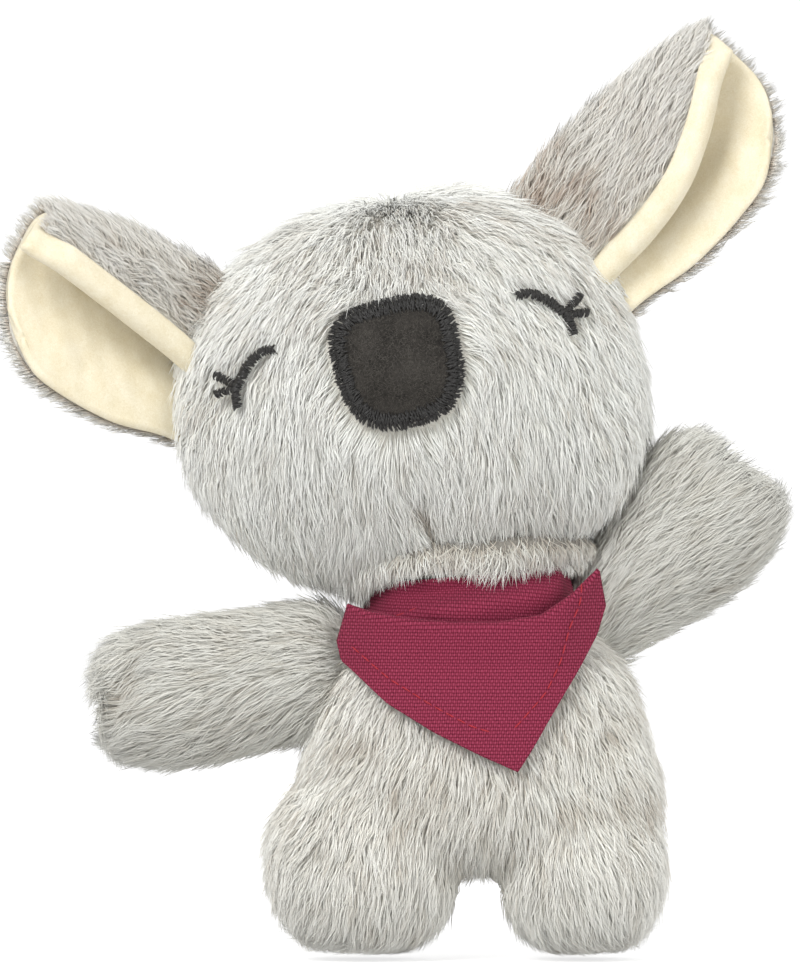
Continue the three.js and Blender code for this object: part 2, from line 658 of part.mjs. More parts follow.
/** Face, back, stuffing, nose and eyes, in the head's frame. */
function addHead() {
  const socket = moved(ball(neckSocket), neckInHead);
  const nosePocket = throughHead(noseShape(clearance)).intersect(headLayer(noseSink, -noseSink));
  const eyePocket = eyeStrokes(1, clearance).add(eyeStrokes(-1, clearance))
    .intersect(headLayer(eyeSink, -eyeSink));
  const shell = headForm(0).subtract(headForm(-coverWall, innerSides, innerRows)).subtract(socket);
  const face = shell.intersect(sideOfY(headSeamY - clearance / 2, -1))
    .subtract(nosePocket).subtract(eyePocket);
  addPiece('head_front_panel', face, furFinish, headFrame);
  const back = shell.intersect(sideOfY(headSeamY + clearance / 2, 1));
  addPiece('head_back_panel', back, backFurFinish, headFrame);
  const stuffing = headForm(-coverWall - clearance, innerSides, innerRows).subtract(socket);
  addPiece('head_stuffing', stuffing, fibreFinish, headFrame);

  const floor = clearance - noseSink;
  const felt = throughHead(noseShape(-noseBorderWidth - clearance))
    .intersect(headLayer(floor + noseFelt, floor));
  addPiece('nose_patch', felt, feltFinish, headFrame);
  const border = throughHead(noseShape(0)).subtract(throughHead(noseShape(-noseBorderWidth)))
    .intersect(headLayer(floor + noseThread, floor));
  addPiece('nose_border', border, threadFinish, headFrame);
  for (const [side, sign] of [['right', -1], ['left', 1]]) {
    const seat = clearance - eyeSink;
    const stitches = eyeStrokes(sign, 0).intersect(headLayer(seat + eyeThread, seat));
    addPiece(`${side}_eye_stitching`, stitches, threadFinish, headFrame);
  }
}

/** Fur leaf and fleece lining of both ears. */
function addEars() {
  for (const [side, place] of [['right', rightEar], ['left', leftEar]]) {
    const frame = earFrame(place);
    const around = earClearance(place, frame);
    const leaf = (near, far) => moved(sheetSolid(earSurface, earSteps, earRows, near, far), frame)
      .subtract(around);
    addPiece(`${side}_ear_outer`, leaf(0, -ear.outerWall), backFurFinish, headFrame);
    const lining = leaf(clearance, clearance + ear.liningWall);
    addPiece(`${side}_ear_lining`, lining, fleeceFinish, headFrame);
  }
}

/** Cover, stuffing and shoulder seam of both arms. */
function addArms() {
  const seam = shellBand(
    shoulderSeamInner, shoulderSeamInner + shoulderSeamWall, shoulderSeamFrom, shoulderSeamTo,
  );
  const root = ball(armBallRadius);
  const arms = [
    ['right', -1, rightArm, rightShoulder, rightArmFrame, rightArmReach],
    ['left', 1, leftArm, leftShoulder, leftArmFrame, leftArmReach],
  ];
  for (const [side, sign, arm, shoulder, frame, reach] of arms) {
    addPiece(`${side}_shoulder_seam`, seam, seamFinish, inwardFrame(sign, shoulder));
    const around = (wall) => moved(armClearance(sign, shoulder, reach, wall), frame.clone().invert());
    const hollow = armCore(arm, 0, around(limbWall));
    const cover = armForm(arm, 0, limbSides).subtract(around(0)).add(root).subtract(hollow);
    addPiece(`${side}_arm_cover`, cover, furFinish, frame);
    const fill = armCore(arm, clearance, around(limbWall + clearance));
    addPiece(`${side}_arm_stuffing`, fill, fibreFinish, frame);
  }
}

/** Band round the neck and the corner that hangs in front. */
function addBandana() {
  const half = bandana.cloth / 2;
  const around = half + clearance;
  const band = sheetSolid(collarSurface, bodySides, collarRows, -half, half, true)
    .subtract(torsoForm(clearance, bodySides));
  addPiece('bandana_collar', band, clothFinish);
  const flap = sheetSolid(flapSurface, flapSteps, flapRows, -half, half)
    .subtract(sheetSolid(collarSurface, bodySides, collarRows, -around, around, true));
  addPiece('bandana_flap', flap, clothFinish);
}

addBody();
addNeck();
addHead();
addEars();
addArms();
addBandana();

export default toy;
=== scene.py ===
"""Plush koala: long grey pile, cream fleece ears, felt nose, satin stitched eyes and a woven bandana.

Sizes are in millimetres and become metres when a mesh is made. +X is the toy's left side.
"""
import sys

import logging
import math
from contextlib import contextmanager
from dataclasses import dataclass, field
from enum import Enum
from typing import Callable, Iterator, Sequence

import bpy
import numpy as np
from mathutils import Matrix, Vector, kdtree


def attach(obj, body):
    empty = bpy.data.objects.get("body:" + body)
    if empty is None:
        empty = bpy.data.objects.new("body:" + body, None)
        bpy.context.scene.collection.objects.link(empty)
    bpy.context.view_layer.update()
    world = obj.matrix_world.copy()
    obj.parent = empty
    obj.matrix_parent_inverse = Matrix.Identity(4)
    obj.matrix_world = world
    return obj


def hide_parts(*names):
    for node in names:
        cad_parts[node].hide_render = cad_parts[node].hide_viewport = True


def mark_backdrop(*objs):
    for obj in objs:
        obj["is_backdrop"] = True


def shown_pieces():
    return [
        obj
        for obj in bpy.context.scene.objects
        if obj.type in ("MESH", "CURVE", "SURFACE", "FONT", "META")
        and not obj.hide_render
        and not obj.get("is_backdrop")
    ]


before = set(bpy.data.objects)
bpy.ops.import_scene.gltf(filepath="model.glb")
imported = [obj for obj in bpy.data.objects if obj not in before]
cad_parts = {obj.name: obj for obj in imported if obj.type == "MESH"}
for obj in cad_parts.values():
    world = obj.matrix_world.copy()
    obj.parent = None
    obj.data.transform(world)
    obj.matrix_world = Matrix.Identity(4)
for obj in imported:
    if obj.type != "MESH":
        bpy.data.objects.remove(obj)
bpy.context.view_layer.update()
log = logging.getLogger("koala")

MM = 0.001
TRIANGLES_A_PIECE = 194000
Array = np.ndarray
Colour = tuple[float, float, float]
Place = tuple[float, float, float]
FlatLine = tuple[tuple[float, float], ...]
DOWN = np.array([0.0, 0.0, -1.0])


class Slot(Enum):
    """The record's material slots."""

    PLUSH = "grey_plush"
    FLEECE = "cream_fleece"
    FELT = "black_felt"
    THREAD = "black_thread"
    CLOTH = "burgundy_cloth"
    FIBRE = "fibre_fill"


class Side(Enum):
    """The toy's own sides."""

    RIGHT = -1
    LEFT = 1

    @property
    def word(self) -> str:
        """Name of the side as the pieces use it."""
        return self.name.lower()


# ---------------------------------------------------------------- numbers and directions


def shade(red: float, green: float, blue: float) -> Colour:
    """Linear colour of a colour as a screen shows it, from 0 to 255."""
    def linear(value: float) -> float:
        """Linear value of one channel."""
        share = value / 255
        return share / 12.92 if share <= 0.04045 else ((share + 0.055) / 1.055) ** 2.4
    return linear(red), linear(green), linear(blue)


def seeded(label: str) -> np.random.Generator:
    """Random numbers that are the same each run for a label."""
    return np.random.default_rng(97 + sum(ord(letter) * (i + 3) for i, letter in enumerate(label)))


def unit(vectors: Array) -> Array:
    """Vectors of length one."""
    return vectors / np.maximum(np.linalg.norm(vectors, axis=-1, keepdims=True), 1e-9)


def limited(value: Array) -> Array:
    """Values kept between 0 and 1."""
    return np.clip(value, 0, 1)


def bell(distance: Array, width: float) -> Array:
    """One at no distance, falling smoothly to nothing beyond a width."""
    return np.exp(-((distance / width) ** 2))


def gentle(share: Array) -> Array:
    """Share from 0 to 1 that starts and ends slowly."""
    return share * share * (3 - 2 * share)


def along_surface(directions: Array, outward: Array) -> Array:
    """Directions turned into the surface that outward stands on."""
    return unit(directions - outward * np.sum(directions * outward, axis=1, keepdims=True))


def curved(values: Array, power: float) -> Array:
    """Signed power that gives the rounded sections."""
    return np.sign(values) * np.abs(values) ** (2 / power)


def moved(points: Array, matrix: Matrix) -> Array:
    """Points moved by a matrix."""
    table = np.array(matrix)
    return points @ table[:3, :3].T + table[:3, 3]


def turned(vectors: Array, matrix: Matrix) -> Array:
    """Directions turned by a matrix."""
    return unit(vectors @ np.array(matrix)[:3, :3].T)


def ball_angles(ball: Array) -> tuple[Array, Array]:
    """Angles over the equator and round the pole, for points of the unit sphere."""
    return np.arcsin(np.clip(ball[:, 2], -1, 1)), np.arctan2(ball[:, 1], ball[:, 0])


def nearest_in(table: Array, points: Array) -> Array:
    """Row of a table of places that is nearest to each point."""
    tree = kdtree.KDTree(len(table))
    for number, place in enumerate(table):
        tree.insert(place, number)
    tree.balance()
    return np.array([tree.find(place)[1] for place in points])


def straight_down(points: Array) -> Array:
    """The direction down, once for each point."""
    return np.tile(DOWN, (len(points), 1))


class Line:
    """A line of straight runs through points."""

    def __init__(self, points: Sequence[Sequence[float]]) -> None:
        """Args: points that the line runs through."""
        self.points = np.array(points)
        runs = np.linalg.norm(np.diff(self.points, axis=0), axis=1)
        self.far = np.concatenate([[0], np.cumsum(runs)])
        self.length = self.far[-1]

    def at(self, distance: Array) -> Array:
        """Places at distances along the line."""
        return np.stack([np.interp(distance, self.far, column) for column in self.points.T], axis=1)

    def gap(self, points: Array) -> Array:
        """Distance of points to the line."""
        best = np.full(len(points), np.inf)
        for start, end in zip(self.points[:-1], self.points[1:]):
            run = end - start
            share = limited((points - start) @ run / max(run @ run, 1e-9))
            best = np.minimum(best, np.linalg.norm(points - start - share[:, None] * run, axis=1))
        return best


class Ripple:
    """Smooth seeded noise over space, about -1 to 1."""

    def __init__(self, label: str, pitch: float, waves: int = 10) -> None:
        """Args: label seeds the noise, pitch is its wavelength and waves how many cross."""
        rng = seeded(label)
        self.heading = unit(rng.normal(size=(waves, 3))) * 2 * math.pi / pitch
        self.heading *= rng.uniform(0.6, 1.7, size=(waves, 1))
        self.phase = rng.uniform(0, 2 * math.pi, size=waves)

    def __call__(self, points: Array) -> Array:
        """Noise at points."""
        return np.sin(points @ self.heading.T + self.phase).sum(axis=1) / math.sqrt(len(self.phase))


# ---------------------------------------------------------------- tools of the bench


class Bench:
    """Steps that several pieces share."""

    @staticmethod
    def clear() -> None:
        """Leaves edit mode and deselects everything."""
        if bpy.context.object and bpy.context.object.mode != "OBJECT":
            bpy.ops.object.mode_set(mode="OBJECT")
        bpy.ops.object.select_all(action="DESELECT")

    @staticmethod
    def pick(piece: bpy.types.Object) -> None:
        """Makes one piece the selected and active one."""
        Bench.clear()
        piece.hide_set(False)
        piece.select_set(True)
        bpy.context.view_layer.objects.active = piece

    @staticmethod
    @contextmanager
    def editing(piece: bpy.types.Object, select: str = "SELECT") -> Iterator[None]:
        """Edit mode on one piece, with all of it or nothing selected at first."""
        Bench.pick(piece)
        bpy.ops.object.mode_set(mode="EDIT")
        bpy.ops.mesh.select_all(action=select)
        yield
        bpy.ops.object.mode_set(mode="OBJECT")

    @staticmethod
    def put(name: str, data: bpy.types.ID) -> bpy.types.Object:
        """A new object in the scene around a mesh, a lamp or a camera."""
        piece = bpy.data.objects.new(name, data)
        bpy.context.scene.collection.objects.link(piece)
        return piece

    @staticmethod
    def places(piece: bpy.types.Object) -> Array:
        """Vertex places of a piece in millimetres."""
        places = np.empty(len(piece.data.vertices) * 3)
        piece.data.vertices.foreach_get("co", places)
        return places.reshape(-1, 3) / MM

    @staticmethod
    def normals(parts: bpy.types.bpy_prop_collection) -> Array:
        """Normals of a mesh's vertices or polygons."""
        normals = np.empty(len(parts) * 3)
        parts.foreach_get("normal", normals)
        return normals.reshape(-1, 3)

    @staticmethod
    def shape(piece: bpy.types.Object, places: Array) -> None:
        """Moves a piece's vertices to places in millimetres."""
        piece.data.vertices.foreach_set("co", (places * MM).astype(np.float32).ravel())
        piece.data.update()

    @staticmethod
    def globe(name: str, segments: int, rings: int, form: Callable[[Array], Array]) -> bpy.types.Object:
        """A sphere that is shaped into a form; its faces come in the same order each run.

        Args:
            name: name of the piece.
            segments: facets round it.
            rings: facets from pole to pole.
            form: gives the place of each point of the unit sphere.

        Returns:
            The shaped piece.
        """
        angle = np.linspace(-math.pi / 2, math.pi / 2, rings + 1)[:, None]
        around = np.linspace(0, 2 * math.pi, segments, endpoint=False)[None]
        wide, high = np.cos(angle), np.sin(angle) * np.ones_like(around)
        ball = np.stack([wide * np.cos(around), wide * np.sin(around), high], axis=-1)
        piece = Bench.grid(name, form(ball.reshape(-1, 3)).reshape(ball.shape), wrap=True)
        Bench.right_way_out(piece)
        return piece

    @staticmethod
    def lumpy(piece: bpy.types.Object, middle: Array, lumps: Ripple, depth: float) -> None:
        """Presses lumps into a stuffing, towards its middle."""
        places = Bench.places(piece)
        Bench.shape(piece, middle + (places - middle) * (1 - depth * np.abs(lumps(places)))[:, None])

    @staticmethod
    def right_way_out(piece: bpy.types.Object) -> None:
        """Merges doubles and turns all faces outwards."""
        with Bench.editing(piece):
            bpy.ops.mesh.remove_doubles(threshold=1e-7)
            bpy.ops.mesh.normals_make_consistent(inside=False)

    @staticmethod
    def face_front(piece: bpy.types.Object) -> None:
        """Turns an open sheet so that its faces look forwards."""
        if Bench.normals(piece.data.polygons)[:, 1].sum() > 0:
            with Bench.editing(piece):
                bpy.ops.mesh.flip_normals()

    @staticmethod
    def finish_with(piece: bpy.types.Object, kind: str, **settings: object) -> None:
        """Adds a modifier with its settings and applies it."""
        Bench.pick(piece)
        modifier = piece.modifiers.new(kind.lower(), kind)
        for name, value in settings.items():
            setattr(modifier, name, value)
        bpy.ops.object.modifier_apply(modifier=modifier.name)

    @staticmethod
    def thicken(piece: bpy.types.Object, thickness: float, offset: float = -1.0) -> None:
        """Makes a sheet into a wall; the offset says on which side of the sheet it grows."""
        Bench.finish_with(piece, "SOLIDIFY", thickness=thickness * MM, offset=offset)

    @staticmethod
    def join(pieces: Sequence[bpy.types.Object], name: str) -> bpy.types.Object:
        """Joins pieces into the first one under a new name."""
        Bench.clear()
        for piece in pieces:
            piece.select_set(True)
        bpy.context.view_layer.objects.active = pieces[0]
        bpy.ops.object.join()
        pieces[0].name = pieces[0].data.name = name
        return pieces[0]

    @staticmethod
    def copy(piece: bpy.types.Object, name: str) -> bpy.types.Object:
        """A copy with a mesh of its own."""
        twin = piece.copy()
        twin.data = piece.data.copy()
        twin.name = twin.data.name = name
        bpy.context.scene.collection.objects.link(twin)
        return twin

    @staticmethod
    def cut(piece: bpy.types.Object, place: Sequence[float], normal: Sequence[float]) -> None:
        """Cuts away what lies on the normal's side of a plane; place is in millimetres."""
        with Bench.editing(piece):
            bpy.ops.mesh.bisect(plane_co=[c * MM for c in place], plane_no=normal, clear_outer=True)

    @staticmethod
    def open_round(piece: bpy.types.Object, place: Sequence[float], radius: float) -> None:
        """Removes the faces within a radius of a place, as an opening of a cover."""
        with Bench.editing(piece, "DESELECT"):
            bpy.ops.mesh.select_mode(type="VERT")
        far = np.linalg.norm(Bench.places(piece) - np.array(place), axis=1)
        piece.data.vertices.foreach_set("select", far < radius)
        bpy.ops.object.mode_set(mode="EDIT")
        bpy.ops.mesh.delete(type="VERT")
        bpy.ops.object.mode_set(mode="OBJECT")

    @staticmethod
    def grid(name: str, places: Array, wrap: bool = False) -> bpy.types.Object:
        """Sheet of quads through a table of places, rows first; wrap closes each row.

        Args:
            name: name of the piece.
            places: rows by columns by 3, in millimetres.
            wrap: whether the last column joins the first.

        Returns:
            The piece, with a UV layer that runs 0 to 1 along rows and columns.
        """
        rows, columns = places.shape[:2]
        index = np.arange(rows * columns).reshape(rows, columns)
        if wrap:
            index = np.concatenate([index, index[:, :1]], axis=1)
        quads = np.stack([index[:-1, :-1], index[1:, :-1], index[1:, 1:], index[:-1, 1:]], axis=-1)
        u, v = np.meshgrid(np.linspace(0, 1, index.shape[1]), np.linspace(0, 1, rows))
        uv = np.stack([u, v], axis=-1)
        corners = np.stack([uv[:-1, :-1], uv[1:, :-1], uv[1:, 1:], uv[:-1, 1:]], axis=2)
        mesh = bpy.data.meshes.new(name)
        mesh.from_pydata((places.reshape(-1, 3) * MM).tolist(), [], quads.reshape(-1, 4).tolist())
        layer = mesh.uv_layers.new(name="Cloth")
        layer.data.foreach_set("uv", corners.reshape(-1).astype(np.float32))
        return Bench.put(name, mesh)

    @staticmethod
    def smooth(piece: bpy.types.Object) -> None:
        """Shades a piece smooth."""
        piece.data.polygons.foreach_set("use_smooth", [True] * len(piece.data.polygons))
        piece.data.update()


def hand_over(
    piece: bpy.types.Object, body: str, slot: Slot, material: bpy.types.Material, *nodes: str
) -> bpy.types.Object:
    """Dresses a finished piece, hangs it on the CAD body that carries it, hides the CAD nodes that it stands
    for and logs what it rides on.

    Args:
        piece: the finished piece.
        body: CAD body that carries it.
        slot: the record's slot of its finish; not used.
        material: its material.
        nodes: CAD nodes that it stands for.

    Returns:
        The piece.
    """
    piece.data.materials.clear()
    piece.data.materials.append(material)
    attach(piece, body)
    if nodes:
        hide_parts(*nodes)
    log.info("%s rides on %s, %d faces", piece.name, body, len(piece.data.polygons))
    return piece


# ---------------------------------------------------------------- finishes


class Nodes:
    """A material's or a group's node tree, filled step by step."""

    def __init__(self, tree: bpy.types.NodeTree) -> None:
        """Args: tree is the node tree to fill."""
        self.tree = tree

    def add(self, kind: str, **settings: object) -> bpy.types.Node:
        """A node with its settings; a setting that names an input gives that input's value."""
        node = self.tree.nodes.new("ShaderNode" + kind)
        for name, value in settings.items():
            if hasattr(node, name):
                setattr(node, name, value)
            else:
                node.inputs[name.replace("_", " ")].default_value = value
        return node

    def join(self, source: bpy.types.NodeSocket, target: bpy.types.NodeSocket) -> None:
        """Links two sockets."""
        self.tree.links.new(source, target)

    def sums(self, operation: str, first: object, second: object) -> bpy.types.NodeSocket:
        """Result of a Math node over two sockets or numbers."""
        node = self.add("Math", operation=operation)
        for slot, value in enumerate((first, second)):
            if isinstance(value, bpy.types.NodeSocket):
                self.join(value, node.inputs[slot])
            else:
                node.inputs[slot].default_value = value
        return node.outputs[0]

    def plus(self, first: object, second: object) -> bpy.types.NodeSocket:
        """Sum of two sockets or numbers."""
        return self.sums("ADD", first, second)

    def minus(self, first: object, second: object) -> bpy.types.NodeSocket:
        """Difference of two sockets or numbers."""
        return self.sums("SUBTRACT", first, second)

    def times(self, first: object, second: object) -> bpy.types.NodeSocket:
        """Product of two sockets or numbers."""
        return self.sums("MULTIPLY", first, second)

    def power(self, base: bpy.types.NodeSocket, exponent: float) -> bpy.types.NodeSocket:
        """Power of a socket."""
        return self.sums("POWER", base, exponent)

    def ramp(
        self, source: bpy.types.NodeSocket, stops: Sequence[tuple[float, Colour]]
    ) -> bpy.types.NodeSocket:
        """Colour of a ramp with stops at places."""
        node = self.add("ValToRGB")
        band = node.color_ramp
        while len(band.elements) < len(stops):
            band.elements.new(0.5)
        for element, (place, colour) in zip(band.elements, stops):
            element.position = place
            element.color = (*colour, 1)
        self.join(source, node.inputs[0])
        return node.outputs[0]

    def tinted(self, base: bpy.types.NodeSocket, tint: bpy.types.NodeSocket) -> bpy.types.NodeSocket:
        """Two colours multiplied."""
        node = self.add("Mix", data_type="RGBA", blend_type="MULTIPLY")
        node.inputs[0].default_value = 1.0
        self.join(base, node.inputs[6])
        self.join(tint, node.inputs[7])
        return node.outputs[2]

    def raised(
        self, height: bpy.types.NodeSocket, shader: bpy.types.Node, strength: float, distance: float
    ) -> None:
        """Gives a shader a bump from a height."""
        bump = self.add("Bump", Strength=strength, Distance=distance)
        self.join(height, bump.inputs["Height"])
        self.join(bump.outputs[0], shader.inputs["Normal"])

    def seen(self) -> bpy.types.NodeSocket:
        """One for rays that the camera, a mirror or clear glass sends, else zero."""
        paths = self.add("LightPath")
        return self.sums("MAXIMUM", paths.outputs["Is Camera Ray"], self.sums(
            "MAXIMUM", paths.outputs["Is Glossy Ray"], paths.outputs["Is Transmission Ray"]))


def new_group(
    name: str, inputs: dict[str, tuple[str, object]], outputs: dict[str, str]
) -> tuple[Nodes, bpy.types.Node, bpy.types.Node]:
    """An empty shader node group with named sockets.

    Args:
        name: name of the group.
        inputs: kind and starting value of each input.
        outputs: kind of each output.

    Returns:
        The helper that fills the group, its input node and its output node.
    """
    tree = bpy.data.node_groups.new(name, "ShaderNodeTree")
    for label, (kind, value) in inputs.items():
        socket = tree.interface.new_socket(label, in_out="INPUT", socket_type="NodeSocket" + kind)
        if value is not None:
            socket.default_value = value
    for label, kind in outputs.items():
        tree.interface.new_socket(label, in_out="OUTPUT", socket_type="NodeSocket" + kind)
    return Nodes(tree), tree.nodes.new("NodeGroupInput"), tree.nodes.new("NodeGroupOutput")


@dataclass(frozen=True)
class Effects:
    """Shader node groups that the finishes share."""

    fuzz: bpy.types.NodeTree
    weave: bpy.types.NodeTree

    @classmethod
    def build(cls) -> "Effects":
        """Both groups."""
        return cls(cls.fuzz_group(), cls.weave_group())

    @staticmethod
    def fuzz_group() -> bpy.types.NodeTree:
        """Matted fibres: a fine noise over a coarser one, as a height and a shade."""
        nodes, source, result = new_group(
            "matted fibres",
            {"Pitch": ("Float", 2500.0), "Depth": ("Float", 0.5)},
            {"Height": "Float", "Shade": "Color"},
        )
        place = nodes.add("TexCoord")
        fine = nodes.add("TexNoise", Detail=3.0, Roughness=0.65, Distortion=1.4)
        coarse = nodes.add("TexNoise", Detail=2.0)
        nodes.join(place.outputs["Object"], fine.inputs["Vector"])
        nodes.join(place.outputs["Object"], coarse.inputs["Vector"])
        nodes.join(source.outputs["Pitch"], fine.inputs["Scale"])
        nodes.join(nodes.times(source.outputs["Pitch"], 0.11), coarse.inputs["Scale"])
        height = nodes.times(nodes.plus(fine.outputs[0], nodes.times(coarse.outputs[0], 0.6)), 0.62)
        nodes.join(height, result.inputs["Height"])
        depth = source.outputs["Depth"]
        spread = nodes.times(nodes.minus(height, 0.5), depth)
        value = nodes.plus(spread, nodes.minus(1.0, nodes.times(depth, 0.2)))
        grey = nodes.add("CombineColor")
        for slot in range(3):
            nodes.join(value, grey.inputs[slot])
        nodes.join(grey.outputs[0], result.inputs["Shade"])
        return nodes.tree

    @staticmethod
    def weave_group() -> bpy.types.NodeTree:
        """Plain weave: threads over and under each other, as a height and a shade; the shade follows the
        height, which paints shade in the gaps and highlight on the threads' crowns.
        """
        nodes, source, result = new_group(
            "plain weave",
            {"Place": ("Vector", None), "Uneven": ("Float", 0.25)},
            {"Height": "Float", "Shade": "Float"},
        )
        wobble = nodes.add("TexNoise", Scale=0.5, Detail=2.0)
        nodes.join(source.outputs["Place"], wobble.inputs["Vector"])
        shifted = nodes.add("VectorMath", operation="MULTIPLY_ADD")
        nodes.join(wobble.outputs["Color"], shifted.inputs[0])
        shifted.inputs[1].default_value = (0.35, 0.35, 0.35)
        nodes.join(source.outputs["Place"], shifted.inputs[2])
        parts = nodes.add("SeparateXYZ")
        nodes.join(shifted.outputs[0], parts.inputs[0])
        across, down = (
            nodes.sums("SINE", nodes.times(parts.outputs[axis], math.pi), 0) for axis in (0, 1))
        wide, tall = (nodes.sums("ABSOLUTE", wave, 0) for wave in (across, down))
        weft = nodes.times(nodes.power(wide, 0.3), nodes.power(tall, 0.5))
        warp = nodes.times(nodes.times(nodes.power(wide, 0.8), nodes.power(tall, 0.4)), 0.78)
        turn = nodes.add("Clamp")
        nodes.join(nodes.plus(nodes.times(nodes.times(across, down), 5.0), 0.5), turn.inputs[0])
        height = nodes.plus(weft, nodes.times(nodes.minus(warp, weft), turn.outputs[0]))
        nodes.join(height, result.inputs["Height"])
        thread = nodes.add("TexNoise", Scale=1.3, Detail=3.0)
        nodes.join(source.outputs["Place"], thread.inputs["Vector"])
        speck = nodes.times(nodes.minus(thread.outputs[0], 0.5), source.outputs["Uneven"])
        # Shade is the height, painted shade low and painted highlight high, plus specks of the threads' own
        # uneven tone.
        nodes.join(nodes.plus(height, speck), result.inputs["Shade"])
        return nodes.tree


def start_material(name: str, **settings: float) -> tuple[bpy.types.Material, Nodes, bpy.types.Node]:
    """A material with its Principled shader, whose settings are named by its sockets."""
    material = bpy.data.materials.new(name)
    material.use_nodes = True
    nodes = Nodes(material.node_tree)
    shader = material.node_tree.nodes["Principled BSDF"]
    for label, value in settings.items():
        shader.inputs[label.replace("_", " ")].default_value = value
    return material, nodes, shader


@dataclass(frozen=True)
class PileFinish:
    """Long silky pile: each strand darkens to its root and has a tint of its own."""

    name: str
    root: Colour
    middle: Colour
    tip: Colour
    dark_tint: Colour = (0.6, 0.54, 0.48)
    low_tint: Colour = (0.86, 0.84, 0.80)
    plain_tint: Colour = (0.97, 0.965, 0.945)
    light_tint: Colour = (1.0, 1.0, 0.985)

    def material(self) -> bpy.types.Material:
        """Reads the tint across and the place along a strand from its UV map."""
        material, nodes, shader = start_material(
            self.name, Roughness=0.62, Sheen_Weight=0.15, Specular_IOR_Level=0.3)
        layer = nodes.add("UVMap", uv_map="OFBake")
        parts = nodes.add("SeparateXYZ")
        nodes.join(layer.outputs[0], parts.inputs[0])
        # Darker towards the root: partly the pile's own colour, partly painted shade deep in the pile.
        length = nodes.ramp(parts.outputs[1], [(0.0, self.root), (0.4, self.middle), (0.9, self.tip)])
        tint = nodes.ramp(parts.outputs[0], [
            (0.0, self.dark_tint), (0.32, self.low_tint), (0.6, self.plain_tint), (1.0, self.light_tint)])
        nodes.join(nodes.tinted(length, tint), shader.inputs["Base Color"])
        return material


@dataclass(frozen=True)
class MattedFinish:
    """Cloth of matted or brushed fibres, such as felt, fleece, backing or stuffing."""

    name: str
    low: Colour
    high: Colour
    pitch: float = 1800.0
    depth: float = 0.5
    bump: float = 0.3
    sheen: float = 0.3

    def material(self, effects: Effects) -> bpy.types.Material:
        """Colour between two shades by the fibres' height, with a bump."""
        material, nodes, shader = start_material(
            self.name, Roughness=0.95, Sheen_Weight=self.sheen, Specular_IOR_Level=0.15)
        fibres = nodes.add("Group", node_tree=effects.fuzz)
        fibres.inputs["Pitch"].default_value = self.pitch
        fibres.inputs["Depth"].default_value = self.depth
        colour = nodes.ramp(fibres.outputs["Height"], [(0.3, self.low), (0.68, self.high)])
        nodes.join(nodes.tinted(colour, fibres.outputs["Shade"]), shader.inputs["Base Color"])
        nodes.raised(fibres.outputs["Height"], shader, self.bump, 0.0003)
        return material


@dataclass(frozen=True)
class ThreadFinish:
    """Twisted thread: fine slanting plies and a slight sheen."""

    name: str
    dark: Colour
    light: Colour
    roughness: float

    def material(self) -> bpy.types.Material:
        """Plies as a wave on the object's own places."""
        material, nodes, shader = start_material(
            self.name, Roughness=self.roughness, Specular_IOR_Level=0.4)
        place = nodes.add("TexCoord")
        plies = nodes.add("TexWave", Scale=2300.0, Distortion=2.5, Detail=2.0)
        plies.bands_direction = "DIAGONAL"
        nodes.join(place.outputs["Object"], plies.inputs["Vector"])
        # The colour follows the plies' height: painted shade in the grooves between plies, painted highlight
        # on their crests.
        colour = nodes.ramp(plies.outputs["Fac"], [(0.15, self.dark), (0.9, self.light)])
        nodes.join(colour, shader.inputs["Base Color"])
        nodes.raised(plies.outputs["Fac"], shader, 0.35, 0.0001)
        return material


@dataclass(frozen=True)
class WeaveFinish:
    """Plain woven cotton."""

    name: str
    gap: Colour
    thread: Colour
    light: Colour

    def material(self, effects: Effects) -> bpy.types.Material:
        """Threads counted along the cloth's UV map, which holds thread numbers."""
        material, nodes, shader = start_material(
            self.name, Roughness=0.85, Sheen_Weight=0.02, Specular_IOR_Level=0.2)
        layer = nodes.add("UVMap", uv_map="Threads")
        weave = nodes.add("Group", node_tree=effects.weave)
        nodes.join(layer.outputs[0], weave.inputs["Place"])
        weave.inputs["Uneven"].default_value = 0.7
        # The gap colour is painted shade between the threads and the light colour a painted highlight on
        # their crowns; the thread colour is the cloth's own.
        colour = nodes.ramp(
            weave.outputs["Shade"], [(0.0, self.gap), (0.5, self.thread), (1.05, self.light)])
        nodes.join(colour, shader.inputs["Base Color"])
        nodes.raised(weave.outputs["Height"], shader, 0.5, 0.00018)
        return material


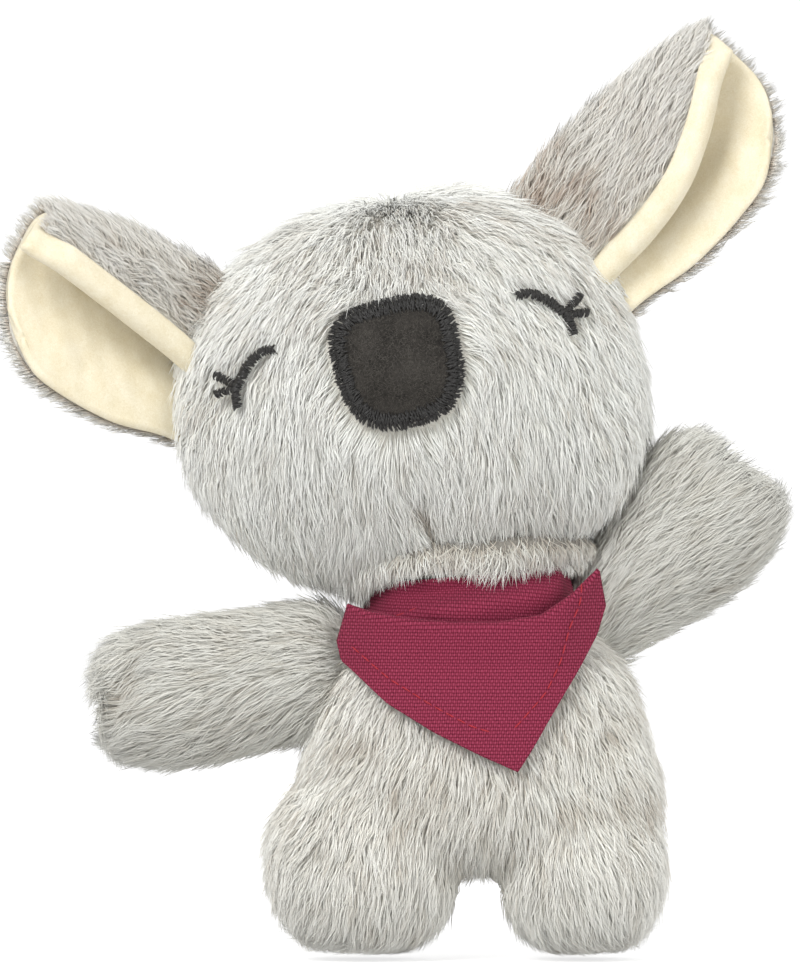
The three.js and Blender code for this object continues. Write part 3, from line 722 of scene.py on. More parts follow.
@dataclass(frozen=True)
class Wardrobe:
    """Every material of the toy."""

    pile: bpy.types.Material
    arm_pile: bpy.types.Material
    head_pile: bpy.types.Material
    ear_pile: bpy.types.Material
    felt_pile: bpy.types.Material
    backing: bpy.types.Material
    gathered: bpy.types.Material
    fleece: bpy.types.Material
    felt: bpy.types.Material
    fibre: bpy.types.Material
    satin: bpy.types.Material
    seam: bpy.types.Material
    red_thread: bpy.types.Material
    cloth: bpy.types.Material

    @classmethod
    def build(cls) -> "Wardrobe":
        """Builds each finish once."""
        piles = {
            "pile": PileFinish(
                "body pile", shade(218, 214, 203), shade(244, 243, 236), shade(254, 254, 250)),
            # The arm pile is a darker copy of the body pile: painted shade on the arms.
            "arm_pile": PileFinish(
                "arm pile", shade(194, 190, 180), shade(217, 216, 209), shade(227, 227, 222)),
            "head_pile": PileFinish(
                "head pile", shade(218, 216, 207), shade(244, 245, 240), shade(254, 255, 253)),
            # The ear pile is a darker copy of the body pile, painted shade on the ears; its browner dark
            # tint is the pile's own colour at the ear's root.
            "ear_pile": PileFinish(
                "ear pile", shade(196, 185, 173), shade(223, 219, 211), shade(235, 234, 230),
                dark_tint=(0.56, 0.45, 0.38)),
            "felt_pile": PileFinish(
                "felt fibres", shade(34, 32, 30), shade(64, 61, 57), shade(92, 88, 82)),
        }
        matted = {
            "backing": MattedFinish("plush backing", shade(196, 192, 182), shade(226, 223, 214)),
            # The gathered backing is the backing's plush darkened: painted shade under the chin.
            "gathered": MattedFinish("gathered backing", shade(112, 108, 100), shade(150, 146, 138)),
            "fleece": MattedFinish(
                "cream fleece", shade(220, 207, 173), shade(236, 229, 208),
                pitch=2600.0, depth=0.1, bump=0.25, sheen=0.15),
            "felt": MattedFinish(
                "charcoal felt", shade(30, 28, 26), shade(66, 63, 59),
                pitch=2000.0, depth=0.6, bump=0.7, sheen=0.0),
            "fibre": MattedFinish(
                "white fibre fill", shade(214, 212, 206), shade(250, 249, 245),
                pitch=900.0, depth=0.3, bump=0.8),
        }
        threads = {
            "satin": ThreadFinish("black satin thread", shade(7, 7, 7), shade(44, 42, 40), 0.38),
            "seam": ThreadFinish("grey seam thread", shade(140, 138, 130), shade(196, 194, 186), 0.7),
            "red_thread": ThreadFinish("red hem thread", shade(132, 20, 36), shade(186, 40, 54), 0.6),
        }
        cloth = WeaveFinish(
            "burgundy plain weave", shade(50, 2, 20), shade(122, 34, 58), shade(150, 60, 84))
        effects = Effects.build()
        return cls(
            cloth=cloth.material(effects),
            **{name: finish.material() for name, finish in (piles | threads).items()},
            **{name: finish.material(effects) for name, finish in matted.items()},
        )

# ---------------------------------------------------------------- forms


@dataclass(frozen=True)
class HeadForm:
    """The head's form in a frame of its own that leans to the toy's right."""

    place: Place = (1.75, 1.2, 90.1)
    half_width: float = 38.2
    half_height: float = 31.2
    back_depth: float = 25.6
    front_depth: float = 21.5
    slump: float = 5.0
    lean: float = 12.4
    plan_power: float = 2.25
    side_power: float = 2.45
    muzzle_depth: float = 8.0
    muzzle_half_width: float = 19.0
    muzzle_half_height: float = 17.0
    muzzle_z: float = 3.5
    muzzle_fade: float = 0.5
    seam_y: float = -4.0

    @property
    def frame(self) -> Matrix:
        """The leaning head's frame, in millimetres."""
        return Matrix.Translation(self.place) @ Matrix.Rotation(-math.radians(self.lean), 4, "Y")

    def own(self, points: Array) -> Array:
        """Points of the world in the head's frame."""
        return moved(points, self.frame.inverted())

    def muzzle(self, x: Array, z: Array) -> Array:
        """How far the muzzle stands out of the face."""
        across, along = x / self.muzzle_half_width, (z - self.muzzle_z) / self.muzzle_half_height
        return self.muzzle_depth * np.exp(-across**2 - along**2)

    def sag(self, z: Array) -> Array:
        """How far the cheeks' lower half sags sideways."""
        return np.where(z < 0, self.slump * (z / self.half_height) ** 2, 0)

    def shape(self, offset: float) -> Callable[[Array], Array]:
        """Form of the unit sphere's points, in the world.

        Args:
            offset: how far the form is grown.

        Returns:
            The function that places the points.
        """
        def place(ball: Array) -> Array:
            """Place of each point of the unit sphere."""
            angle, around = ball_angles(ball)
            z = (self.half_height + offset) * curved(np.sin(angle), self.side_power)
            share = curved(np.cos(angle), self.side_power)
            x = share * (self.half_width + offset) * curved(np.cos(around), self.plan_power)
            deep = np.where(np.sin(around) < 0, self.front_depth, self.back_depth) + offset
            y = share * deep * curved(np.sin(around), self.plan_power)
            bulge = self.muzzle(x, z) * limited(-y / deep / self.muzzle_fade)
            return moved(np.stack([x + self.sag(z), y - bulge, z], axis=1), self.frame)
        return place

    def front(self, x: Array, z: Array, offset: float) -> Array:
        """Y of the face at places, in the head's frame."""
        high = np.clip(np.abs(z) / (self.half_height + offset), 0, 0.999)
        share = (1 - high**self.side_power) ** (1 / self.side_power)
        sag = self.sag(z)
        across = np.clip(np.abs(x - sag) / (share * (self.half_width + offset)), 0, 0.999)
        flat = share * (1 - across**self.plan_power) ** (1 / self.plan_power)
        bulge = self.muzzle(x - sag, z) * limited(flat / self.muzzle_fade)
        return -flat * (self.front_depth + offset) - bulge

    def on_face(self, x: Array, z: Array, offset: float) -> tuple[Array, Array]:
        """Places on the face and the directions out of it, in the world.

        Args:
            x: across the face, in the head's frame.
            z: up the face, in the head's frame.
            offset: distance over the form.

        Returns:
            Places and unit normals.
        """
        step = 0.4
        y = self.front(x, z, offset)
        slope_x = (self.front(x + step, z, offset) - self.front(x - step, z, offset)) / (2 * step)
        slope_z = (self.front(x, z + step, offset) - self.front(x, z - step, offset)) / (2 * step)
        normals = unit(np.stack([slope_x, -np.ones_like(x), slope_z], axis=1))
        return moved(np.stack([x, y, z], axis=1), self.frame), turned(normals, self.frame)

    def holds(self, points: Array, offset: float) -> Array:
        """Whether points of the world lie inside the form grown by an offset."""
        own = self.own(points)
        high = np.abs(own[:, 2]) / (self.half_height + offset)
        share = np.clip(1 - limited(high) ** self.side_power, 1e-6, 1) ** (1 / self.side_power)
        deep = np.where(own[:, 1] < 0, self.front_depth, self.back_depth) + offset
        across = np.abs(own[:, 0]) / (share * (self.half_width + offset))
        back = np.abs(own[:, 1]) / (share * deep)
        return (high < 1) & (across**self.plan_power + back**self.plan_power < 1)


@dataclass(frozen=True)
class TorsoForm:
    """The body's form: rounded rings whose width and depth follow its height."""

    x: float = 12.4
    y: float = 0.5
    floor_gap: float = 12.6
    height: float = 45.0
    half_width: float = 28.8
    half_depth: float = 19.0
    power: float = 2.3
    rises: tuple[float, ...] = (0, 0.02, 0.08, 0.18, 0.3, 0.42, 0.55, 0.67, 0.79, 0.88, 0.945, 0.985, 1)
    widths: tuple[float, ...] = (0, 0.36, 0.66, 0.88, 0.98, 1, 0.955, 0.9, 0.82, 0.67, 0.49, 0.26, 0)
    depths: tuple[float, ...] = (0, 0.4, 0.68, 0.88, 0.97, 1, 0.97, 0.91, 0.82, 0.68, 0.5, 0.27, 0)

    def shape(self, offset: float) -> Callable[[Array], Array]:
        """Form of the unit sphere's points."""
        def place(ball: Array) -> Array:
            """Place of each point of the unit sphere."""
            angle, around = ball_angles(ball)
            steps = (angle / math.pi + 0.5) * (len(self.rises) - 1)
            table = np.arange(len(self.rises))
            rise = np.interp(steps, table, self.rises)
            wide = np.interp(steps, table, self.widths) * (self.half_width + offset)
            deep = np.interp(steps, table, self.depths) * (self.half_depth + offset)
            return np.stack([
                self.x + wide * curved(np.cos(around), self.power),
                self.y + deep * curved(np.sin(around), self.power),
                self.floor_gap + self.height / 2 + (rise - 0.5) * (self.height + 2 * offset),
            ], axis=1)
        return place

    def ring(self, z: Array, offset: float) -> tuple[Array, Array, Array]:
        """Share of the height, half width and half depth of the form at a height."""
        rise = (z - self.floor_gap) / self.height
        wide = np.interp(rise, self.rises, self.widths) * self.half_width + offset
        deep = np.interp(rise, self.rises, self.depths) * self.half_depth + offset
        return rise, wide, deep

    def front(self, x: Array, z: Array, gap: float) -> Array:
        """Y of the body's front at places, grown by a gap."""
        _, wide, deep = self.ring(z, gap)
        across = np.clip(np.abs(x - self.x) / wide, 0, 0.97)
        return self.y - deep * (1 - across**self.power) ** (1 / self.power)

    def holds(self, points: Array, offset: float) -> Array:
        """Whether points lie inside the form grown by an offset."""
        rise, wide, deep = self.ring(points[:, 2], offset)
        across = np.abs(points[:, 0] - self.x) / np.maximum(wide, 0.1)
        back = np.abs(points[:, 1] - self.y) / np.maximum(deep, 0.1)
        inside = (rise > -offset / self.height) & (rise < 1 + offset / self.height)
        return inside & (across**self.power + back**self.power < 1)


@dataclass(frozen=True)
class LegForm:
    """One stub leg's lobe."""

    x: float
    half_width: float
    half_depth: float
    half_height: float
    y: float = 0.0
    sole: float = 0.5
    plan_power: float = 2.4
    side_power: float = 2.1

    def shape(self, offset: float) -> Callable[[Array], Array]:
        """Form of the unit sphere's points."""
        def place(ball: Array) -> Array:
            """Place of each point of the unit sphere."""
            angle, around = ball_angles(ball)
            share = curved(np.cos(angle), self.side_power)
            rise = (self.half_height + offset) * curved(np.sin(angle), self.side_power)
            return np.stack([
                self.x + share * (self.half_width + offset) * curved(np.cos(around), self.plan_power),
                self.y + share * (self.half_depth + offset) * curved(np.sin(around), self.plan_power),
                self.half_height - self.sole + rise,
            ], axis=1)
        return place


@dataclass(frozen=True)
class ArmForm:
    """One arm's form along its own X from the shoulder."""

    side: Side
    length: float
    half_height: float
    half_depth: float
    shoulder: Place
    rise: float
    bow: float
    sizes: tuple[float, ...]
    power: float = 2.2
    bow_share: float = 0.35
    reaches: tuple[float, ...] = (-0.2, -0.18, -0.08, 0.08, 0.22, 0.38, 0.54, 0.7, 0.84, 0.93, 0.985, 1)

    @property
    def frame(self) -> Matrix:
        """The arm's frame, in millimetres."""
        lift = Matrix.Rotation(-math.radians(self.rise) * self.side.value, 4, "Y")
        place = Matrix.Translation(self.shoulder) @ lift
        return place if self.side is Side.LEFT else place @ Matrix.Rotation(math.pi, 4, "Z")

    def shape(self, offset: float) -> Callable[[Array], Array]:
        """Form of the unit sphere's points."""
        def place(ball: Array) -> Array:
            """Place of each point of the unit sphere."""
            angle, around = ball_angles(ball)
            last = len(self.reaches) - 1
            steps = (angle / math.pi + 0.5) * last
            table = np.arange(len(self.reaches))
            along = np.interp(steps, table, self.reaches) * self.length
            along += offset * (2 * steps / last - 1)
            size = np.interp(steps, table, self.sizes)
            tall = size * (self.half_height + offset) * curved(np.cos(around), self.power)
            deep = size * (self.half_depth + offset) * curved(np.sin(around), self.power)
            rise = self.bow * bell(along / self.length, self.bow_share)
            return moved(np.stack([along, deep, rise - tall], axis=1), self.frame)
        return place


HEAD = HeadForm()
TORSO = TorsoForm()
LEGS = {
    Side.RIGHT: LegForm(-5.4, 16.6, 17.2, 16.8),
    Side.LEFT: LegForm(28.9, 14.4, 16.8, 16.0),
}
HIPS = {
    Side.RIGHT: LegForm(-2.6, 15.4, 16.0, 14.0, sole=-9.5, plan_power=2.2),
    Side.LEFT: LegForm(27.6, 15.0, 16.0, 15.0, sole=-12.0, plan_power=2.2),
}
ARMS = {
    Side.RIGHT: ArmForm(
        Side.RIGHT, 37.4, 12.4, 10.8, (-11.6, 1.0, 45.0), -6.5, 1.3,
        (0, 0.5, 0.84, 0.93, 0.96, 0.98, 1, 1, 0.91, 0.72, 0.42, 0)),
    Side.LEFT: ArmForm(
        Side.LEFT, 37.0, 13.3, 10.2, (32.6, 3.2, 50.4), 53.0, 2.4,
        (0, 0.3, 0.48, 0.6, 0.72, 0.86, 0.97, 1.02, 0.97, 0.82, 0.5, 0)),
}
NECK = (10.2, 1.5, 58.4)


# ---------------------------------------------------------------- pile


@dataclass
class Stand:
    """Where strands stand, which way is out and how they lie.

    Each has its share of full length, its tint and its softness, which is how far it is lit like
    the surface below it.
    """

    roots: Array
    outward: Array
    lie: Array
    reach: Array
    tint: Array
    soft: Array
    density: float

    def where(self, keep: Array) -> "Stand":
        """The strands that are kept."""
        tables = (self.roots, self.outward, self.lie, self.reach, self.tint, self.soft)
        return Stand(*(table[keep] for table in tables), self.density)

    @staticmethod
    def on(
        piece: bpy.types.Object, density: float, label: str, flow: Callable[[Array], Array]
    ) -> "Stand":
        """Scatters strands evenly over a piece.

        Args:
            piece: the surface, with smooth normals.
            density: strands a square millimetre.
            label: seeds the scatter.
            flow: direction that strands lie in, given their roots.

        Returns:
            The strands, at full length and middle tint.
        """
        mesh = piece.data
        mesh.calc_loop_triangles()
        corners = np.empty(len(mesh.loop_triangles) * 3, np.int32)
        mesh.loop_triangles.foreach_get("vertices", corners)
        corners = corners.reshape(-1, 3)
        places, normals = Bench.places(piece), Bench.normals(mesh.vertices)
        a, b, c = (places[corners[:, i]] for i in range(3))
        areas = np.linalg.norm(np.cross(b - a, c - a), axis=1) / 2
        rng = seeded(label)
        count = int(areas.sum() * density)
        picked = rng.choice(len(areas), size=count, p=areas / areas.sum())
        first, second = rng.random(count), rng.random(count)
        over = first + second > 1
        first[over], second[over] = 1 - first[over], 1 - second[over]
        shares = np.stack([1 - first - second, first, second], axis=1)[:, :, None]
        roots = (places[corners[picked]] * shares).sum(axis=1)
        outward = unit((normals[corners[picked]] * shares).sum(axis=1))
        lie = along_surface(flow(roots), outward)
        log.info("%s: %.0f square mm, %d strands", label, areas.sum(), count)
        return Stand(roots, outward, lie, np.ones(count), np.full(count, 0.6), np.ones(count), density)


@dataclass(frozen=True)
class Spike:
    """Corners of a closed spike's faces, the faces' sizes and each vertex's place along the spike."""

    corners: tuple[int, ...]
    sizes: tuple[int, ...]
    heights: tuple[float, ...]


BENT = Spike(
    (2, 1, 0, 0, 1, 4, 3, 1, 2, 5, 4, 2, 0, 3, 5, 3, 4, 6, 4, 5, 6, 5, 3, 6), (3, 4, 4, 4, 3, 3, 3),
    (0, 0, 0, 0.5, 0.5, 0.5, 1),
)
STRAIGHT = Spike((2, 1, 0, 0, 1, 3, 1, 2, 3, 2, 0, 3), (3, 3, 3, 3), (0, 0, 0, 1))
BENT_TRIANGLES, STRAIGHT_TRIANGLES = 10, 4


@dataclass
class Spikes:
    """Strands as closed spikes of three sides, each bent at its middle or straight."""

    roots: Array
    middles: Array
    tips: Array
    outward: Array
    thick: Array
    tint: Array
    soft: Array
    bent: Array
    side_light: float = 0.7
    tip_light: float = 0.2
    middle_thickness: float = 0.85

    def part(self, rows: Array) -> "Spikes":
        """The spikes of some rows."""
        return Spikes(
            self.roots[rows], self.middles[rows], self.tips[rows], self.outward[rows], self.thick[rows],
            self.tint[rows], self.soft[rows], self.bent[rows],
        )

    def corners(self, kind: Spike) -> tuple[Array, Array]:
        """Places of spikes that are all of one kind, and the directions that they are lit from."""
        heading = unit(self.tips - self.roots)
        side = unit(np.cross(heading, self.outward) + 1e-6)
        up = np.cross(heading, side)
        width = len(kind.heights)
        places = np.empty((len(self.roots), width, 3))
        looks = np.repeat((self.outward * self.soft[:, None])[:, None], width, axis=1)
        for corner in range(3):
            angle = 2 * math.pi * corner / 3 + 0.5
            reach = side * math.cos(angle) + up * math.sin(angle)
            places[:, corner] = self.roots + reach * self.thick[:, None]
            looks[:, corner] += reach * self.side_light
            if kind is BENT:
                places[:, 3 + corner] = self.middles + reach * self.thick[:, None] * self.middle_thickness
                looks[:, 3 + corner] += reach * self.side_light
        places[:, -1] = self.tips
        looks[:, -1] += heading * self.tip_light
        return places.reshape(-1, 3), unit(looks).reshape(-1, 3)

    def piece(self, name: str) -> bpy.types.Object:
        """One mesh of all spikes, with the UV layer that the pile's finish reads."""
        points, normals, corners, sizes, uvs, first = [], [], [], [], [], 0
        for kind, rows in ((BENT, self.bent), (STRAIGHT, ~self.bent)):
            places, looks = self.part(rows).corners(kind)
            count, width = int(rows.sum()), len(kind.heights)
            pattern = np.array(kind.corners)
            height = np.array(kind.heights)[pattern] * 0.96 + 0.02
            points.append(places)
            normals.append(looks)
            corners.append((first + np.arange(count)[:, None] * width + pattern).ravel())
            sizes.append(np.tile(kind.sizes, count))
            uvs.append(np.stack([np.repeat(self.tint[rows], len(pattern)), np.tile(height, count)], axis=1))
            first += count * width
        places, loops, faces = np.concatenate(points), np.concatenate(corners), np.concatenate(sizes)
        mesh = bpy.data.meshes.new(name)
        mesh.vertices.add(len(places))
        mesh.vertices.foreach_set("co", (places * MM).astype(np.float32).ravel())
        mesh.loops.add(len(loops))
        mesh.loops.foreach_set("vertex_index", loops.astype(np.int32))
        mesh.polygons.add(len(faces))
        mesh.polygons.foreach_set("loop_start", (np.cumsum(faces) - faces).astype(np.int32))
        mesh.polygons.foreach_set("use_smooth", np.ones(len(faces), bool))
        layer = mesh.uv_layers.new(name="OFBake")
        layer.data.foreach_set("uv", np.concatenate(uvs).astype(np.float32).ravel())
        mesh.update()
        mesh.validate()
        mesh.normals_split_custom_set_from_vertices(np.concatenate(normals).astype(np.float32))
        return Bench.put(name, mesh)


@dataclass(frozen=True)
class Coat:
    """How a pile grows: size, lie and clumping of its strands.

    A share of the strands is an undercoat: shorter, straight and a little darker. Strands gather
    towards the head of their clump.
    """

    length: float = 6.6
    radius: float = 0.082
    root_lean: float = 58.0
    tip_lean: float = 84.0
    most_lean: float = 92.0
    clump: float = 1.0
    gather: float = 0.6
    under_share: float = 0.64
    under_radius: float = 0.12
    under_length: float = 0.75
    under_gather: float = 0.35
    under_tint: float = 0.1
    wander: float = 0.13
    hang: float = 0.04
    bend_at: float = 0.45
    sunk: float = 0.25

    def grow(self, name: str, stand: Stand) -> list[bpy.types.Object]:
        """Makes the strands, in pieces of limited size.

        Args:
            name: name of the piece, numbered where there are several.
            stand: the strands' places and lie.

        Returns:
            The pieces.
        """
        rng = seeded(name)
        roots, outward = stand.roots, stand.outward
        count = len(roots)
        heads = max(int(count / stand.density / (1.6 * self.clump**2)), 8)
        chosen = rng.choice(count, size=min(heads, count), replace=False)
        own_clump = nearest_in(roots[chosen], roots)
        centre = chosen[own_clump]

        def varied(by_clump: float, by_strand: float) -> Array:
            """Random share of each strand, part of it shared by its clump."""
            return rng.normal(size=len(chosen))[own_clump] * by_clump + rng.normal(size=count) * by_strand

        drift = Ripple(name + " drift", 15.0)(roots) * 0.16
        drift += varied(0.16, self.wander)
        lie = unit(stand.lie + np.cross(outward, stand.lie) * drift[:, None])
        under = rng.random(count) < self.under_share
        length = self.length * stand.reach * rng.uniform(0.78, 1.1, count)
        length *= np.where(under, self.under_length, 1)
        steep = rng.normal(size=len(chosen))[own_clump] * 4
        root_lean = np.radians(self.root_lean + steep + rng.normal(size=count) * 6)
        tip_lean = np.radians(np.minimum(self.tip_lean + steep + rng.normal(size=count) * 5, self.most_lean))
        first = outward * np.cos(root_lean)[:, None] + lie * np.sin(root_lean)[:, None]
        last = outward * np.cos(tip_lean)[:, None] + lie * np.sin(tip_lean)[:, None]
        last = unit(last + np.array([0, 0, -self.hang]))
        middles = roots + first * (self.bend_at * length)[:, None]
        tips = middles + last * ((1 - self.bend_at) * length)[:, None]

        pull = self.gather * rng.uniform(0.5, 1.2, count)
        near = np.linalg.norm(roots - roots[centre], axis=1)
        pull *= limited(1.7 - near / (1.9 * self.clump))
        shift = roots[centre] - roots
        shift -= outward * np.sum(shift * outward, axis=1, keepdims=True)
        tips = tips + shift * (pull * np.where(under, self.under_gather, 1))[:, None]
        middles = middles + shift * (pull * 0.3)[:, None]

        tint = stand.tint + varied(0.1, 0.12)
        tint += Ripple(name + " tint", 11.0)(roots) * 0.09 - np.where(under, self.under_tint, 0)
        thick = np.where(under, self.under_radius, self.radius) * rng.uniform(0.75, 1.25, count)
        strands = Spikes(
            roots - outward * self.sunk, middles, tips, outward, thick, np.clip(tint, 0.02, 0.98),
            stand.soft, ~under,
        )
        triangles = BENT_TRIANGLES * (~under).sum() + STRAIGHT_TRIANGLES * under.sum()
        parts = np.array_split(
            np.argsort(roots[:, 0], kind="stable"), max(1, math.ceil(triangles / TRIANGLES_A_PIECE)))
        labels = [name] if len(parts) == 1 else [f"{name}_{number + 1}" for number in range(len(parts))]
        return [strands.part(part).piece(label) for label, part in zip(labels, parts)]

    def cover(
        self, name: str, stand: Stand, body: str, material: bpy.types.Material, slot: Slot = Slot.PLUSH
    ) -> None:
        """Grows a pile and hands its pieces over."""
        for piece in self.grow(name, stand):
            hand_over(piece, body, slot, material)

# ---------------------------------------------------------------- face


class Threads:
    """Short stitches gathered into one piece: each a bowed thread with rounded ends."""

    def __init__(self, name: str, sides: int = 6, steps: int = 5) -> None:
        """Args: name of the piece, sides round a thread and steps along it."""
        self.name, self.sides, self.steps = name, sides, steps
        self.places: list[Array] = []

    def lay(self, starts: Array, ends: Array, outward: Array, radius: float, bow: float) -> None:
        """Adds stitches.

        Args:
            starts: where each stitch comes up.
            ends: where it goes down.
            outward: direction out of the cloth.
            radius: radius of the thread.
            bow: how far a stitch stands up at its middle.
        """
        run = ends - starts
        heading = unit(run)
        side = unit(np.cross(heading, outward))
        up = np.cross(side, heading)
        angle = 2 * math.pi * np.arange(self.sides) / self.sides
        for number in range(len(starts)):
            rings = []
            for share in np.linspace(0, 1, self.steps + 1):
                swell = math.sqrt(max(1 - abs(2 * share - 1) ** 5, 0.02))
                middle = starts[number] + run[number] * share
                middle = middle + outward[number] * bow * math.sin(math.pi * share) ** 0.6
                ring = np.cos(angle)[:, None] * side[number] + np.sin(angle)[:, None] * up[number] * 0.8
                rings.append(middle + ring * radius * swell)
            self.places.append(np.array(rings))

    def lay_on_face(self, start: Array, end: Array, level: float, radius: float) -> None:
        """Adds stitches between places of the face, given across and up in the head's frame."""
        sunk, bow = 0.5, 0.55
        starts, out_a = HEAD.on_face(start[:, 0], start[:, 1], level - sunk)
        ends, out_b = HEAD.on_face(end[:, 0], end[:, 1], level - sunk)
        self.lay(starts, ends, unit(out_a + out_b), radius, bow)

    def piece(self) -> bpy.types.Object:
        """All stitches as one mesh with closed ends."""
        points, faces, first = [], [], 0
        for rings in self.places:
            rows, sides = rings.shape[:2]
            points.append(rings.reshape(-1, 3))
            for row in range(rows - 1):
                a, b = first + row * sides, first + (row + 1) * sides
                for i in range(sides):
                    j = (i + 1) % sides
                    faces.append((a + i, a + j, b + j, b + i))
            faces.append(tuple(first + i for i in reversed(range(sides))))
            faces.append(tuple(first + (rows - 1) * sides + i for i in range(sides)))
            first += rows * sides
        mesh = bpy.data.meshes.new(self.name)
        mesh.from_pydata((np.concatenate(points) * MM).tolist(), [], faces)
        piece = Bench.put(self.name, mesh)
        Bench.right_way_out(piece)
        Bench.smooth(piece)
        return piece


@dataclass(frozen=True)
class Nose:
    """Felt patch with a satin stitched border, in the head's frame."""

    x: float = -0.85
    z: float = 4.6
    half_width: float = 10.0
    half_height: float = 10.2
    taper: float = 1.2
    power: float = 3.2
    border: float = 2.9
    felt: float = 0.9
    felt_level: float = -0.5
    felt_swell: float = 0.3
    border_level: float = -0.15
    slant: float = 0.25
    thread: float = 0.145

    def outline(self, around: Array, inset: float) -> Array:
        """X and Z of the outline at angles, inset by a distance."""
        wide = self.half_width - inset + self.taper * np.sin(around)
        return np.stack([
            self.x + wide * curved(np.cos(around), self.power),
            self.z + (self.half_height - inset) * curved(np.sin(around), self.power),
        ], axis=1)

    def outside(self, x: Array, z: Array) -> Array:
        """How far places of the face lie outside the outline; negative inside."""
        across = np.abs(x - self.x) / (self.half_width + self.taper * (z - self.z) / self.half_height)
        up = np.abs(z - self.z) / self.half_height
        rho = (across**self.power + up**self.power) ** (1 / self.power)
        return (rho - 1) * self.half_width

    def build(self, wardrobe: Wardrobe) -> None:
        """Felt and its stitched border."""
        self.patch(wardrobe)
        self.stitches(wardrobe)

    def patch(self, wardrobe: Wardrobe) -> None:
        """Rings of felt from the border inwards, with short fibres on them."""
        rows, sides = 30, 96
        edge = self.outline(np.linspace(0, 2 * math.pi, sides, endpoint=False), self.border * 0.45)
        ripple, rings = Ripple("felt", 3.0), []
        for share in np.linspace(1, 0, rows):
            x, z = self.x + (edge[:, 0] - self.x) * share, self.z + (edge[:, 1] - self.z) * share
            places, outward = HEAD.on_face(x, z, self.felt_level + self.felt_swell * (1 - share**2))
            rings.append(places + outward * ripple(places)[:, None] * 0.04 * min(1, 6 * share))
        felt = Bench.grid("nose_felt", np.array(rings), wrap=True)
        Bench.right_way_out(felt)
        Bench.face_front(felt)
        Bench.smooth(felt)
        rng = seeded("felt lie")
        stand = Stand.on(felt, 12.0, "felt fibres", lambda roots: rng.normal(size=roots.shape))
        fibres = Coat(
            length=1.5, radius=0.05, root_lean=62, tip_lean=84, under_share=1.0, under_radius=0.06,
            clump=0.4, gather=0.1, wander=0.6, hang=0.0)
        fibres.cover("nose_felt_fibres", stand, "head", wardrobe.felt_pile, Slot.FELT)
        Bench.thicken(felt, self.felt)
        hand_over(felt, "head", Slot.FELT, wardrobe.felt, "nose_patch")

    def stitches(self, wardrobe: Wardrobe) -> None:
        """Four layers of stitches across the border, which slant and vary a little."""
        threads = Threads("nose_border_stitches", sides=5, steps=4)
        rng = seeded("nose border")
        half = self.border / 2
        angles = np.linspace(0, 2 * math.pi, 2000)
        line = Line(self.outline(angles, half))
        layers = (
            (330, half + 0.3, -0.3, 0.0), (300, 0.3, -half, 0.05),
            (300, 0.9, -0.9, 0.25), (200, half + 0.1, 0.4, 0.2),
        )
        for count, outer, inner, level in layers:
            at = np.linspace(0, line.length, count, endpoint=False) + rng.normal(size=count) * 0.08
            around = np.interp(at % line.length, line.far, angles)
            middle = self.outline(around, half)
            ahead = self.outline(around + 0.01, half) - middle
            out = unit(np.stack([ahead[:, 1], -ahead[:, 0]], axis=1))
            out = unit(out + unit(ahead) * (self.slant + rng.normal(size=(count, 1)) * 0.28))
            start = middle + out * (outer + rng.normal(size=(count, 1)) * 0.13)
            end = middle + out * (inner + rng.normal(size=(count, 1)) * 0.2)
            threads.lay_on_face(start, end, level + self.border_level, self.thread)
        hand_over(threads.piece(), "head", Slot.THREAD, wardrobe.satin, "nose_border")


@dataclass(frozen=True)
class Eye:
    """One closed eye: a bent lid line with lashes at its outer end, satin stitched."""

    side: Side
    width: float = 1.75
    lash_width: float = 0.9
    level: float = 0.3
    layer_height: float = 0.2
    spacing: float = 0.25
    thread: float = 0.17
    lid: FlatLine = ((19.4, 10.9), (21.0, 11.1), (22.6, 10.4), (24.2, 9.2), (25.5, 7.6), (26.8, 6.1))
    upper_lash: FlatLine = ((26.2, 6.6), (27.9, 7.9), (29.3, 9.0))
    outer_lash: FlatLine = ((26.4, 6.3), (28.2, 6.3), (29.8, 6.1))
    lower_lash: FlatLine = ((26.6, 6.4), (26.9, 4.8), (27.0, 3.3))

    def lines(self) -> list[Line]:
        """The four strokes, in the head's frame."""
        mirror = np.array([self.side.value, 1.0])
        strokes = (self.lid, self.upper_lash, self.outer_lash, self.lower_lash)
        return [Line(np.array(stroke) * mirror) for stroke in strokes]

    def build(self, wardrobe: Wardrobe) -> None:
        """Two layers of stitches laid across each stroke."""
        threads = Threads(f"{self.side.word}_eye_stitches")
        rng = seeded(f"{self.side.word} eye")
        for number, line in enumerate(self.lines()):
            count = int(line.length / self.spacing)
            for layer in range(2):
                at = np.linspace(0, line.length, count) + rng.normal(size=count) * 0.06
                middle = line.at(at)
                heading = unit(line.at(at + 0.5) - line.at(at - 0.5) + 1e-6)
                across = np.stack([-heading[:, 1], heading[:, 0]], axis=1)
                across = unit(across + heading * rng.normal(size=(count, 1)) * 0.3)
                half = self.width / 2 * rng.uniform(0.75, 1.15, size=(count, 1))
                half *= 1 if number == 0 else self.lash_width
                threads.lay_on_face(
                    middle - across * half, middle + across * half,
                    self.level + self.layer_height * layer, self.thread)
        hand_over(
            threads.piece(), "head", Slot.THREAD, wardrobe.satin, f"{self.side.word}_eye_stitching")


# ---------------------------------------------------------------- head


